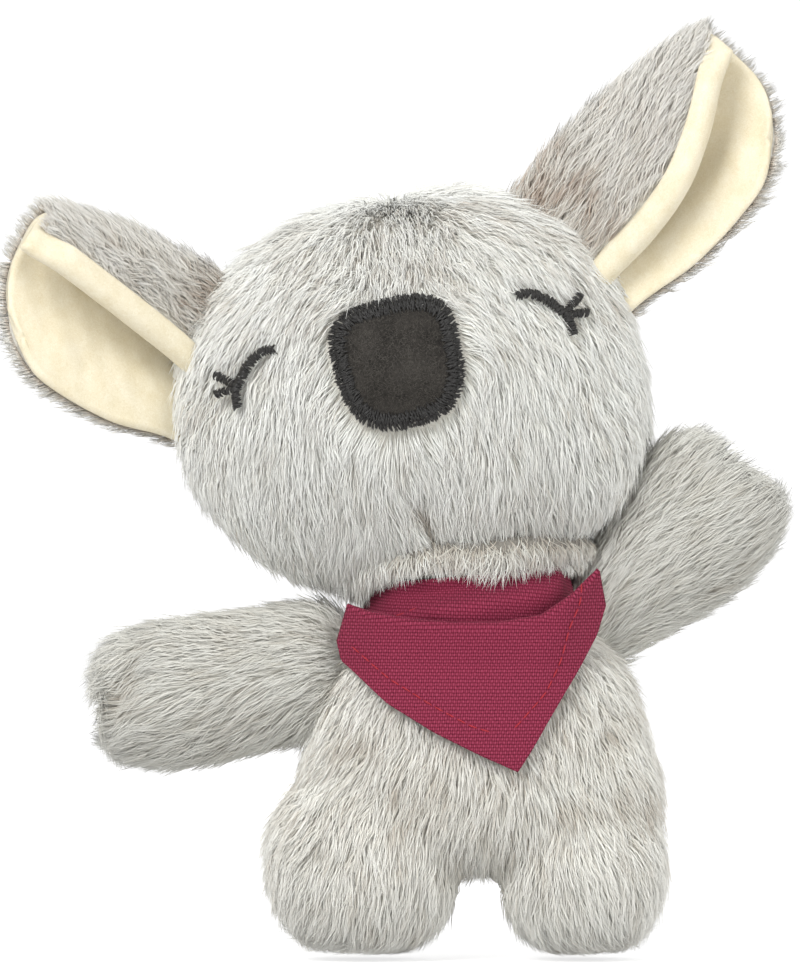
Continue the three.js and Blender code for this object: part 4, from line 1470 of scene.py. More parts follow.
@dataclass
class Head:
    """Face panel, back panel, stuffing and pile of the head, with nose and eyes."""

    wardrobe: Wardrobe
    skin_offset: float = -2.5
    wall: float = 0.8
    neck_opening: float = 10.5
    face_density: float = 12.2
    back_density: float = 4.8
    strip_density: float = 10.0
    crown: Place = (-3.0, -1.0, 124.8)
    crown_reach: Place = (11.0, 9.0, 9.0)
    chin_dart: FlatLine = ((2.4, 73.5), (4.2, 70.0), (5.8, 67.0), (7.0, 64.0))
    crown_dart: FlatLine = ((-2.6, 121.5), (-3.0, 119.0), (-2.8, 117.0))
    fringe: FlatLine = (
        (-8.3, 54.2), (-5.0, 55.6), (-2.9, 58.6), (3.7, 60.4), (10.2, 61.0), (15.7, 59.3),
        (23.0, 61.6), (27.9, 62.4), (32.0, 64.5))
    nose: Nose = field(default_factory=Nose)
    eyes: tuple[Eye, Eye] = (Eye(Side.RIGHT), Eye(Side.LEFT))

    def build(self) -> None:
        """All of the head's pieces."""
        self.panels()
        self.stuffing()
        self.nose.build(self.wardrobe)
        for eye in self.eyes:
            eye.build(self.wardrobe)
        self.pile()
        self.gathers()

    def panels(self) -> None:
        """Face and back panel as thin shells that are open at the neck."""
        whole = Bench.globe("head_face_backing", 160, 88, HEAD.shape(self.skin_offset))
        places, normals = Bench.places(whole), Bench.normals(whole.data.vertices)
        front = limited(-places[:, 1] / 8)
        dart = bell(Line(self.chin_dart).gap(places[:, [0, 2]]), 1.7)
        across, behind = (places[:, 0] - self.crown[0]) / 15, (places[:, 1] - 2) / 12
        peak = np.exp(-(across**2 + behind**2)) * (places[:, 2] > 105)
        lift = Ripple("head stuffing", 21.0)(places) * 0.35 - 1.6 * dart * front + 1.4 * peak
        Bench.shape(whole, places + normals * lift[:, None])
        Bench.smooth(whole)
        self.skin = Bench.copy(whole, "head_form")
        Bench.open_round(whole, NECK, self.neck_opening)
        back = Bench.copy(whole, "head_back_backing")
        for piece, way, node in ((whole, 1, "head_front_panel"), (back, -1, "head_back_panel")):
            Bench.cut(piece, (0, HEAD.seam_y - 0.05 * way, 0), (0, way, 0))
            Bench.thicken(piece, self.wall)
            hand_over(piece, "head", Slot.PLUSH, self.wardrobe.backing, node)

    def stuffing(self) -> None:
        """Lumpy fibre fill."""
        fill = Bench.globe("head_fill", 56, 32, HEAD.shape(self.skin_offset - 2.2))
        Bench.lumpy(fill, np.array(HEAD.place), Ripple("head fill", 9.0), 0.03)
        Bench.smooth(fill)
        hand_over(fill, "head", Slot.FIBRE, self.wardrobe.fibre, "head_stuffing")

    def flow(self, roots: Array) -> Array:
        """Pile runs away from the crown and down, closes over the chin dart and parts at the nose."""
        lie = unit(roots - np.array(self.crown)) + 0.5 * DOWN
        own = HEAD.own(roots)
        gap = self.nose.outside(own[:, 0], own[:, 2])
        radial = unit(roots - np.array(HEAD.frame @ Vector((self.nose.x, -28, self.nose.z))))
        close = (0.5 * bell(np.maximum(gap, 0), 3.0) * (own[:, 1] < -8))[:, None]
        lie = lie * (1 - close) + radial * close
        dart = np.array(self.chin_dart)
        side = np.interp(-roots[:, 2], -dart[:, 1], dart[:, 0]) - roots[:, 0]
        pull = np.where(side > 0, 0.85, 0.3) * np.clip(side / 0.8, -1, 1) * bell(side, 7)
        pull *= bell(np.maximum(roots[:, 2] - 73, 0), 4) * (roots[:, 1] < -6)
        lie[:, 0] += pull
        return lie

    def near_crown(self, roots: Array) -> Array:
        """One at the crown, falling to zero around it; the pile there gets painted light that lifts the
        shade where it parts.
        """
        x, y, z = ((roots - np.array(self.crown)) / np.array(self.crown_reach)).T
        return np.exp(-(x**2) - y**2 - z**2)

    def pile(self) -> None:
        """Pile of the face, cut short round nose and eyes, and of the back."""
        front = Stand.on(self.skin, self.face_density, "face pile", self.flow)
        front = front.where((front.roots[:, 1] < HEAD.seam_y) & ~self.hidden(front.roots))
        # Painted shade: darker towards the top of the head, which offsets the brighter light it gets from
        # above; a little darker all over too.
        front.tint -= 0.03 + 0.16 * limited((front.roots[:, 2] - 98) / 14)
        # Painted light at the crown: a paler tint that lifts the shade where the pile parts.
        front.tint += 0.34 * self.near_crown(front.roots)
        Coat().cover("face_pile", self.trimmed(front), "head", self.wardrobe.head_pile)
        back = Stand.on(self.skin, self.back_density, "back pile", self.flow)
        back = back.where((back.roots[:, 1] >= HEAD.seam_y) & ~self.hidden(back.roots))
        # Painted light at the crown, as on the face.
        back.tint += 0.2 * self.near_crown(back.roots)
        coarse = Coat(radius=0.135, under_radius=0.2)
        coarse.cover("head_back_pile", back, "head", self.wardrobe.head_pile)
        bpy.data.objects.remove(self.skin)

    def trimmed(self, face: Stand) -> Stand:
        """The face's pile, parted at the darts and cut short where it would cover nose and eyes."""
        own = HEAD.own(face.roots)
        gap = self.nose.outside(own[:, 0], own[:, 2])
        by_nose, by_eyes = own[:, 1] < -5, own[:, 1] < -4
        face.reach *= 1 - 0.15 * bell(np.maximum(gap, 0), 2.0) * by_nose
        # Painted shade along the darts: a darker tint where the pile parts; it is also shorter there.
        for dart, depth in ((self.chin_dart, 0.75), (self.crown_dart, 0.1)):
            close = bell(Line(dart).gap(face.roots[:, [0, 2]]), 1.2) * (face.roots[:, 1] < 0)
            face.tint -= depth * close
            face.reach *= 1 - 0.4 * close
        lie = turned(face.lie, HEAD.frame.inverted())
        soft = seeded("face trim").normal(size=len(own))
        strokes = [line for eye in self.eyes for line in eye.lines()]
        for share in (0.2, 0.4, 0.65, 0.95):
            x, z = (own[:, i] + lie[:, i] * share * 5.4 for i in (0, 2))
            covers = (self.nose.outside(x, z) < -0.5 + soft * 0.3) & by_nose
            face.reach = np.where(covers, np.minimum(face.reach, share), face.reach)
            for stroke in strokes:
                covers = (stroke.gap(np.stack([x, z], axis=1)) < 0.75 + soft * 0.2) & by_eyes
                short = np.minimum(face.reach, max(share * 0.85, 0.3))
                face.reach = np.where(covers, short, face.reach)
        for stroke in strokes:
            face.reach *= np.where(by_eyes, 1 - 0.3 * bell(stroke.gap(own[:, [0, 2]]), 1.1), 1)
        return face.where((gap > -0.25) | ~by_nose)

    def gathers(self) -> None:
        """Plush of the back panel gathered to the neck seam; its pile falls over the bandana."""
        turn = np.linspace(0, 2 * math.pi, 96, endpoint=False)[None]
        v = np.linspace(0, 1, 23)[:, None]
        pleat = 0.22 * np.sin(15 * turn) * (1 - v)
        swell = np.sin(limited(v / 0.62) * math.pi / 2) ** 0.8 - 0.75 * limited((v - 0.62) / 0.38) ** 1.6
        spread = 1 + 0.16 * limited(np.cos(turn)) + 0.13 * limited(-np.cos(turn))
        x = NECK[0] - 0.4 * v + (10.9 + 7.4 * swell + pleat) * spread * np.cos(turn)
        y = NECK[1] - 0.4 * v + (9.9 + 4.8 * swell + pleat) * np.sin(turn)
        z = NECK[2] + 0.4 + 9.5 * v + 1.9 * np.cos(turn) * v
        cuff = Bench.grid("head_neck_gathers", np.stack([x, y, z], axis=-1), wrap=True)
        Bench.right_way_out(cuff)
        Bench.smooth(cuff)
        stand = Stand.on(cuff, self.strip_density, "neck pile", straight_down)
        coat = Coat(length=5.6, root_lean=42, tip_lean=76, gather=0.7, clump=1.2, wander=0.45, hang=0.15)
        coat.cover("neck_pile", self.fallen(stand), "head", self.wardrobe.head_pile)
        Bench.thicken(cuff, self.wall)
        # The cuff's darker gathered backing is painted shade under the chin.
        hand_over(cuff, "head", Slot.PLUSH, self.wardrobe.gathered)

    def fallen(self, strip: Stand) -> Stand:
        """The strip's pile, which falls in tufts down to the fringe and has painted shade under the chin."""
        outer = strip.roots - np.array([NECK[0], NECK[1], 0])
        side = unit(outer)[:, 0]
        outer[:, 2] = 0
        strip.outward = unit(unit(outer) + 0.25 * DOWN)
        fall = straight_down(outer)
        fall[:, 0] = 0.5 * Ripple("strip tufts", 2.4)(strip.roots)
        strip.lie = along_surface(fall, strip.outward)
        low = 61.6 + 1.4 * side + np.where(strip.roots[:, 0] < 0, -2.0, 0)
        strip = strip.where((strip.roots[:, 2] > low) & ~HEAD.holds(strip.roots, -4.0))
        fringe = np.array(self.fringe)
        room = strip.roots[:, 2] - np.interp(strip.roots[:, 0], fringe[:, 0], fringe[:, 1])
        ragged = Ripple("fringe", 3.0)(strip.roots) * 0.12
        strip.reach = np.where(strip.roots[:, 1] < 0, np.clip(room / 4.6 + ragged, 0.35, 1), 1)
        # Painted shade: darker all over and darkest at the strip's top, under the chin.
        strip.tint -= 0.22 + 0.36 * limited((strip.roots[:, 2] - 64.0) / 3)
        return strip

    @staticmethod
    def hidden(roots: Array) -> Array:
        """Places of the head's form that lie inside the body."""
        return TORSO.holds(roots, -1.0)


# ---------------------------------------------------------------- ears


@dataclass(frozen=True)
class Leaf:
    """Table of an ear's leaf: places, normals and the distances to its edges and its tip.

    The front edge is the flap's, the base is the lower edge.
    """

    places: Array
    normals: Array
    edge: Array
    base: Array
    tip: Array


@dataclass
class Ear:
    """One ear: a folded leaf of plush with a fleece lining that rolls over its front edge."""

    wardrobe: Wardrobe
    side: Side
    place: Place
    rise: float
    forward: float
    turn: float
    length: float = 38.5
    root_inset: float = 6.0
    crease_arc: float = 9.0
    lower_heading: float = -40.0
    back_heading: float = 8.0
    flap_headings: tuple[float, float] = (168.0, 142.0)
    places_along: tuple[float, ...] = (0, 10, 19, 28, 34.5, 38.5)
    drop: float = 3.0
    creases: tuple[float, ...] = (12.6, 13, 12.4, 11.2, 10.2, 9)
    backs: tuple[float, ...] = (27, 30, 29.5, 27.5, 24, 20.5)
    flaps: tuple[float, ...] = (20.5, 22, 21, 16.6, 10.8, 6.6)
    tip_round: float = 7.5
    tip_reach: float = 17.0
    tip_lead: float = 2.0
    ease: float = 2.6
    rim: float = 5.4
    density: float = 10.4

    @property
    def frame(self) -> Matrix:
        """The ear's frame in the world; its X is the ear's length."""
        own = Matrix.Rotation(-math.radians(self.rise), 4, "Y")
        own = own @ Matrix.Rotation(-math.radians(self.forward), 4, "Z")
        own = own @ Matrix.Rotation(math.radians(self.turn), 4, "X")
        own = Matrix.Translation((abs(self.place[0]), self.place[1], self.place[2])) @ own
        if self.side is Side.RIGHT:
            own = Matrix.Scale(-1, 4, (1, 0, 0)) @ own
        return HEAD.frame @ own

    def eased(self, along: float, values: Sequence[float]) -> float:
        """Value of one of the ear's tables at a place along it, with the table's corners rounded."""
        steps = np.linspace(-2, 2, 17)
        weights = np.exp(-(steps**2) / 1.6)
        near = np.interp(along + steps * self.ease, self.places_along, values)
        return float(near @ weights / weights.sum())

    def leaf(
        self, rows: int, columns: int, low: float = 0.0, high: float = 0.0, short: float = 0.0
    ) -> Leaf:
        """The folded leaf as a table.

        Args:
            rows: steps from root to tip.
            columns: steps from the lower edge over the fold to the front edge.
            low: how much is left off at the lower edge.
            high: how much is left off at the front edge.
            short: how much is left off at the tip.

        Returns:
            The table, in the ear's own frame.
        """
        whole = self.length + self.root_inset
        us = np.linspace(0, 1 - short / whole, rows + 1)
        places = np.empty((rows + 1, columns + 1, 3))
        edge, base = np.empty((rows + 1, columns + 1)), np.empty((rows + 1, columns + 1))
        for i, u in enumerate(us):
            along = -self.root_inset + u * whole
            crease, back, flap = (
                self.eased(along, table) for table in (self.creases, self.backs, self.flaps))
            arc = np.linspace(0, back + flap, 400)
            at = np.linspace(low, back + flap - high, columns + 1)
            y, z = self.section(arc, back, u)
            middle, top = np.interp(back / 2, arc, y), np.interp(back, arc, z)
            near_tip = limited((along - self.length + self.tip_reach) / self.tip_reach) ** 1.6
            across = np.clip(2 * at / (back + flap) - 1, -0.98, 0.98)
            corner = self.tip_round * near_tip * 0.85 * np.abs(across) ** 3 * np.where(across > 0, 0.2, 1)
            lead = self.tip_lead * limited((at - back) / flap)
            lead *= limited((along - self.length + 12) / 12) ** 1.4
            places[i] = np.stack([
                along - corner + lead,
                np.interp(at, arc, y) - middle,
                np.interp(at, arc, z) - top + (crease - self.drop),
            ], axis=1)
            edge[i], base[i] = (back + flap) - at, at
        normals = unit(np.cross(np.gradient(places, axis=0), np.gradient(places, axis=1)))
        tip = (1 - us)[:, None] * whole * np.ones((1, columns + 1))
        return Leaf(places, normals, edge, base, tip)

    def section(self, arc: Array, back: float, u: float) -> tuple[Array, Array]:
        """Y and Z along the leaf's section, which bends at its crease.

        Args:
            arc: lengths along the section from the lower edge.
            back: length up to the crease.
            u: share of the ear's length.

        Returns:
            Y and Z at each length.
        """
        flap_heading = self.flap_headings[0] + (self.flap_headings[1] - self.flap_headings[0]) * u
        share = gentle(limited((arc - back + self.crease_arc / 2) / self.crease_arc))
        rising = self.lower_heading + (self.back_heading - self.lower_heading) * np.minimum(arc / back, 1)
        heading = np.radians(rising + (flap_heading - rising) * share)
        step = arc[1] - arc[0]
        y = np.concatenate([[0], np.cumsum(-(np.sin(heading[1:]) + np.sin(heading[:-1])) / 2 * step)])
        z = np.concatenate([[0], np.cumsum((np.cos(heading[1:]) + np.cos(heading[:-1])) / 2 * step)])
        return y, z

    def build(self) -> None:
        """Plush leaf, fleece lining and pile."""
        self.backing()
        self.fleece()
        self.pile()

    def flapness(self, leaf: Leaf) -> Array:
        """How far places of the leaf belong to its front flap, from 0 to 1."""
        along = (self.length - leaf.tip)[:, 0]
        back = np.array([self.eased(place, self.backs) for place in along])[:, None]
        return limited((leaf.base - back) / 2.5)

    def backing(self) -> None:
        """Thin plush leaf outside the lining, which stays clear of the lining's edges."""
        leaf = self.leaf(44, 72, low=1.3, high=self.rim - 0.9, short=1.4)
        near, far = (leaf.places - leaf.normals * depth for depth in (1.1, 0.3))
        self.slab("ear_backing", near, far, self.wardrobe.backing, Slot.PLUSH, "ear_outer")

    def fleece(self) -> None:
        """Lining that wraps over the front edge as a thick soft rim."""
        leaf = self.leaf(72, 130)
        over = gentle(self.flapness(leaf) * limited((self.rim - leaf.edge) / 1.8))
        ripple = Ripple(f"{self.side.word} fleece", 8.0)
        soft = ripple(leaf.places.reshape(-1, 3)).reshape(leaf.edge.shape) * 0.15
        thin = np.clip(leaf.tip / 5, 0.35, 1)
        thick = 0.75 + 1.6 * over * thin + soft * 0.5
        end = np.minimum(np.minimum(leaf.edge, leaf.base), leaf.tip + 0.05) / (thick * 0.95)
        swell = np.sqrt(np.clip(1 - (1 - np.clip(end, 0.02, 1)) ** 2, 0.01, 1))
        centre = 0.55 - 1.4 * over * thin + soft * 0.4
        plump = 1.3 * bell(leaf.base - 6.5, 4) * limited(leaf.tip / 12)
        near = leaf.places + leaf.normals * (centre - thick * swell)[:, :, None]
        far = leaf.places + leaf.normals * (centre + (thick + plump) * swell)[:, :, None]
        self.slab("ear_fleece", near, far, self.wardrobe.fleece, Slot.FLEECE, "ear_lining")

    def slab(
        self, name: str, near: Array, far: Array, material: bpy.types.Material, slot: Slot, node: str
    ) -> None:
        """Closed sheet between two tables of places; its name and node are given without the side."""
        loop = np.concatenate([near, far[:, ::-1]], axis=1)
        word = self.side.word
        places = moved(loop.reshape(-1, 3), self.frame).reshape(loop.shape)
        piece = Bench.grid(f"{word}_{name}", places, wrap=True)
        with Bench.editing(piece, "DESELECT"):
            bpy.ops.mesh.select_mode(type="EDGE")
            bpy.ops.mesh.select_non_manifold(
                extend=False, use_wire=False, use_multi_face=False, use_non_contiguous=False,
                use_verts=False)
            bpy.ops.mesh.fill_holes(sides=0)
            bpy.ops.mesh.select_mode(type="VERT")
        Bench.right_way_out(piece)
        Bench.smooth(piece)
        hand_over(piece, f"{word}_ear", slot, material, f"{word}_{node}")

    def pile(self) -> None:
        """Pile on the leaf's outer side, which runs from root to tip."""
        word = self.side.word
        leaf = self.leaf(44, 72, low=0.3, high=0.3, short=0.3)
        sheet = Bench.grid("ear_form", leaf.places - leaf.normals * 1.0)
        stand = Stand.on(
            sheet, self.density, f"{word} ear pile", lambda roots: np.tile([1.0, 0, 0], (len(roots), 1)))
        bpy.data.objects.remove(sheet)
        stand = self.combed(stand, leaf)
        stand.roots = moved(stand.roots, self.frame)
        stand.outward = turned(stand.outward, self.frame)
        stand.lie = turned(stand.lie, self.frame)
        stand = stand.where(~HEAD.holds(stand.roots, -4.5))
        coat = Coat(length=6.6, root_lean=52, tip_lean=80, hang=0.0)
        coat.cover(f"{word}_ear_pile", stand, f"{word}_ear", self.wardrobe.ear_pile)

    def combed(self, stand: Stand, leaf: Leaf) -> Stand:
        """The ear's pile in the ear's frame: shorter and softer towards the leaf's edges, and paler there
        with painted light.
        """
        nearest = nearest_in(leaf.places.reshape(-1, 3), stand.roots)
        stand.outward = -leaf.normals.reshape(-1, 3)[nearest]
        on_flap = self.flapness(leaf).ravel()[nearest]
        edge_gap, low_gap, tip_gap = (
            gaps.ravel()[nearest] for gaps in (leaf.edge, leaf.base, leaf.tip))
        across = unit(np.gradient(leaf.places, axis=1).reshape(-1, 3)[nearest])
        low_share = np.exp(-low_gap / 4)
        stand.lie = along_surface(stand.lie - across * (0.3 * low_share)[:, None], stand.outward)
        stand.outward = unit(stand.outward - across * (0.45 * low_share)[:, None])
        stand.soft = limited(np.minimum(low_gap, np.where(on_flap > 0.5, 12, tip_gap)) / 8 - 0.35)
        keep = (on_flap < 0.5) | ((edge_gap > self.rim - 0.6) & (tip_gap > 1.2))
        keep &= stand.roots[:, 0] > -4.5
        stand.reach *= np.where((on_flap > 0.5) & (edge_gap < self.rim + 1.8), 0.75, 1.0)
        stand.reach *= np.clip(1 - 0.5 * np.exp(-low_gap / 3) - 0.6 * np.exp(-tip_gap / 5), 0.35, 1)
        # Painted light: a paler tint towards the lower edge and the tip, which lifts the shade on the
        # fringe.
        stand.tint += 0.04 + 0.5 * np.exp(-np.minimum(low_gap, tip_gap) / 4)
        # Darker, browner towards the ear's root: partly the pile's own pinkish brown, partly painted shade
        # at the seam with the head.
        stand.tint -= 0.36 * bell(np.maximum(stand.roots[:, 0] - 3, 0), 6)
        return stand.where(keep)

# ---------------------------------------------------------------- body


@dataclass
class Body:
    """Body with its two stub legs: backing, stuffing and pile."""

    wardrobe: Wardrobe
    skin_offset: float = -2.4
    wall: float = 0.8
    voxel: float = 1.1
    lowest: float = 1.3
    leg_top: float = 19.0
    crotch: float = 13.2
    neck_opening: float = 10.0
    arm_opening: float = 8.0
    front_density: float = 11.8
    leg_density: float = 10.6
    back_density: float = 5.6

    def build(self) -> None:
        """All of the body's pieces."""
        self.skin = self.form("body_front_backing", self.skin_offset)
        self.form_copy = Bench.copy(self.skin, "body_form")
        self.panels()
        self.stuffing()
        self.pile()

    def form(self, name: str, offset: float) -> bpy.types.Object:
        """Body and legs grown into one smooth form."""
        parts = [Bench.globe(name, 72, 48, TORSO.shape(offset))]
        for number, lobe in enumerate([*LEGS.values(), *HIPS.values()]):
            parts.append(Bench.globe(f"lobe_{number}", 56, 40, lobe.shape(offset)))
        whole = Bench.join(parts, name)
        Bench.finish_with(whole, "REMESH", mode="VOXEL", voxel_size=self.voxel * MM)
        Bench.finish_with(whole, "SMOOTH", factor=0.5, iterations=55)
        places = Bench.places(whole)
        places[:, 2] = np.maximum(places[:, 2], self.lowest)
        Bench.shape(whole, places)
        Bench.smooth(whole)
        return whole

    def panels(self) -> None:
        """Front, back and leg covers as thin shells with openings for neck and arms."""
        front = self.skin
        Bench.open_round(front, (NECK[0], NECK[1], NECK[2] - 3), self.neck_opening)
        for arm in ARMS.values():
            Bench.open_round(front, arm.shoulder, self.arm_opening)
        back = Bench.copy(front, "body_back_backing")
        right, left = Bench.copy(front, "right_leg_backing"), Bench.copy(front, "left_leg_backing")
        for piece, way in ((front, 1), (back, -1)):
            Bench.cut(piece, (0, TORSO.y, 0), (0, way, 0))
            Bench.cut(piece, (0, 0, self.leg_top), (0, 0, -1))
        for piece, way in ((right, 1), (left, -1)):
            Bench.cut(piece, (0, 0, self.leg_top), (0, 0, 1))
            Bench.cut(piece, (self.crotch, 0, 0), (way, 0, 0))
        names = ("body_front_panel", "body_back_panel", "right_leg_cover", "left_leg_cover")
        for piece, node in zip((front, back, right, left), names):
            Bench.thicken(piece, self.wall)
            hand_over(piece, "torso", Slot.PLUSH, self.wardrobe.backing, node)

    def stuffing(self) -> None:
        """Lumpy fibre fill of body and legs in one."""
        fill = self.form("body_fill", self.skin_offset - 2.4)
        Bench.lumpy(fill, np.array([TORSO.x, 0, 32]), Ripple("body fill", 8.0), 0.025)
        hand_over(
            fill, "torso", Slot.FIBRE, self.wardrobe.fibre,
            "body_stuffing", "right_leg_stuffing", "left_leg_stuffing",
        )

    def flow(self, roots: Array) -> Array:
        """Pile runs down, outwards on the belly and out under the soles."""
        lie = straight_down(roots)
        lie[:, 0] += np.clip((roots[:, 0] - TORSO.x) / 60, -0.35, 0.35)
        low = limited((9 - roots[:, 2]) / 9)[:, None]
        centre = np.where(roots[:, :1] < self.crotch, LEGS[Side.RIGHT].x, LEGS[Side.LEFT].x)
        spread = np.concatenate([roots[:, :1] - centre, roots[:, 1:2], np.zeros((len(roots), 1))], axis=1)
        return lie + unit(spread) * low * 0.8

    def pile(self) -> None:
        """Pile of the four covers."""
        covers = {
            "body_front_pile": (
                self.front_density, lambda x, y, z: (y < TORSO.y) & (z > self.leg_top)),
            "body_back_pile": (
                self.back_density, lambda x, y, z: (y >= TORSO.y) & (z > self.leg_top)),
            "right_leg_pile": (
                self.leg_density, lambda x, y, z: (z <= self.leg_top) & (x < self.crotch)),
            "left_leg_pile": (
                self.leg_density, lambda x, y, z: (z <= self.leg_top) & (x >= self.crotch)),
        }
        for name, (density, chosen) in covers.items():
            stand = Stand.on(self.form_copy, density, name, self.flow)
            stand = stand.where(chosen(*stand.roots.T) & ~HEAD.holds(stand.roots, -3.0))
            x, _, z = stand.roots.T
            stand.reach *= 1 - 0.55 * limited((4.0 - z) / 3)
            # Painted shade: darker in the cleft between the legs, and darker up the body, where it offsets
            # the brighter light on the belly.
            cleft = bell(x - self.crotch, 4) * limited((24 - z) / 6)
            stand.tint -= 0.18 * cleft + 0.2 * limited((z - 14) / 12)
            for piece in Coat().grow(name, stand):
                self.press(piece)
                hand_over(piece, "torso", Slot.PLUSH, self.wardrobe.pile)
        bpy.data.objects.remove(self.form_copy)

    @staticmethod
    def press(piece: bpy.types.Object) -> None:
        """Keeps every strand above the floor, by squeezing all that is low into a thin layer."""
        floor, top, deepest = 0.15, 1.2, -4
        places = Bench.places(piece)
        if places[:, 2].min() < floor:
            low = places[:, 2] < top
            share = (np.clip(places[low, 2], deepest, top) - deepest) / (top - deepest)
            places[low, 2] = floor + share * (top - floor)
            Bench.shape(piece, places)


@dataclass
class Arm:
    """One arm: backing, stuffing and pile that runs to its tip."""

    wardrobe: Wardrobe
    form: ArmForm
    skin_offset: float = -2.3
    wall: float = 0.8
    density: float = 10.4
    tip_slit: FlatLine = ((-38.2, 51.4), (-40.5, 47.1), (-42.6, 43.0), (-44.3, 39.2))

    def build(self) -> None:
        """All of the arm's pieces."""
        word = self.form.side.word
        body = f"{word}_arm"
        skin = Bench.globe(f"{body}_backing", 60, 44, self.form.shape(self.skin_offset))
        Bench.finish_with(skin, "SMOOTH", factor=0.5, iterations=4)
        Bench.smooth(skin)
        fill = Bench.globe(f"{body}_fill", 32, 22, self.form.shape(self.skin_offset - 2.2))
        hand_over(fill, body, Slot.FIBRE, self.wardrobe.fibre, f"{body}_stuffing")
        stand = Stand.on(skin, self.density, f"{word} arm pile", self.flow)
        stand = stand.where(~(TORSO.holds(stand.roots, -4.0) | HEAD.holds(stand.roots, -3.5)))
        self.tip_seam(stand)
        Coat(length=6.4).cover(f"{body}_pile", stand, body, self.wardrobe.arm_pile)
        Bench.open_round(skin, self.form.frame @ Vector((-0.2 * self.form.length, 0, 0)), 5.0)
        Bench.thicken(skin, self.wall)
        hand_over(skin, body, Slot.PLUSH, self.wardrobe.backing, f"{body}_cover")

    def flow(self, roots: Array) -> Array:
        """Pile runs along the arm and a little down, and spreads at the tip."""
        heading = np.array(self.form.frame.to_3x3() @ Vector((1, 0, 0)))
        own = moved(roots, self.form.frame.inverted())
        tip = limited((own[:, :1] - 0.86 * self.form.length) / 5)
        spread = turned(np.concatenate([np.zeros_like(tip), own[:, 1:]], axis=1), self.form.frame)
        return heading + 0.25 * DOWN + spread * tip * 1.2

    def tip_seam(self, stand: Stand) -> None:
        """The seam round the arm's tip parts the pile, which is shorter there and darker with painted shade.
        """
        if self.form.side is Side.RIGHT:
            gap = Line(self.tip_slit).gap(stand.roots[:, [0, 2]]) + 9 * (stand.roots[:, 1] > 0)
            away = np.sign(self.tip_slit[2][0] - stand.roots[:, 0])
            lean = 0.6 * bell(gap, 3.0) * away
            lean = np.stack([lean, 0 * lean, -0.5 * lean], axis=1)
            stand.lie = along_surface(stand.lie - lean, stand.outward)
        else:
            own = moved(stand.roots, self.form.frame.inverted())
            gap = np.abs(own[:, 1]) + np.maximum(0.78 * self.form.length - own[:, 0], 0)
        part = bell(gap, 1.0)
        stand.reach *= 1 - 0.35 * part
        # Painted shade along the seam's parting.
        stand.tint -= 0.32 * part


@dataclass
class Neck:
    """Plug of stuffing between body and head, and the seam threads that stay as they are."""

    wardrobe: Wardrobe
    plug_radius: float = 9.6

    def build(self) -> None:
        """The plug, and the threads' finish."""
        def place(ball: Array) -> Array:
            """A ball that is a little lumpy."""
            lumps = Ripple("neck fill", 1.1)(ball)
            return np.array(NECK) + ball * (self.plug_radius * (1 - 0.02 * np.abs(lumps)))[:, None]
        plug = Bench.globe("neck_fill", 40, 24, place)
        Bench.smooth(plug)
        hand_over(plug, "neck", Slot.FIBRE, self.wardrobe.fibre, "neck_stuffing")
        for node in ("neck_seam", "right_shoulder_seam", "left_shoulder_seam"):
            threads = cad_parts[node]
            threads.data.materials.clear()
            threads.data.materials.append(self.wardrobe.seam)


# ---------------------------------------------------------------- bandana


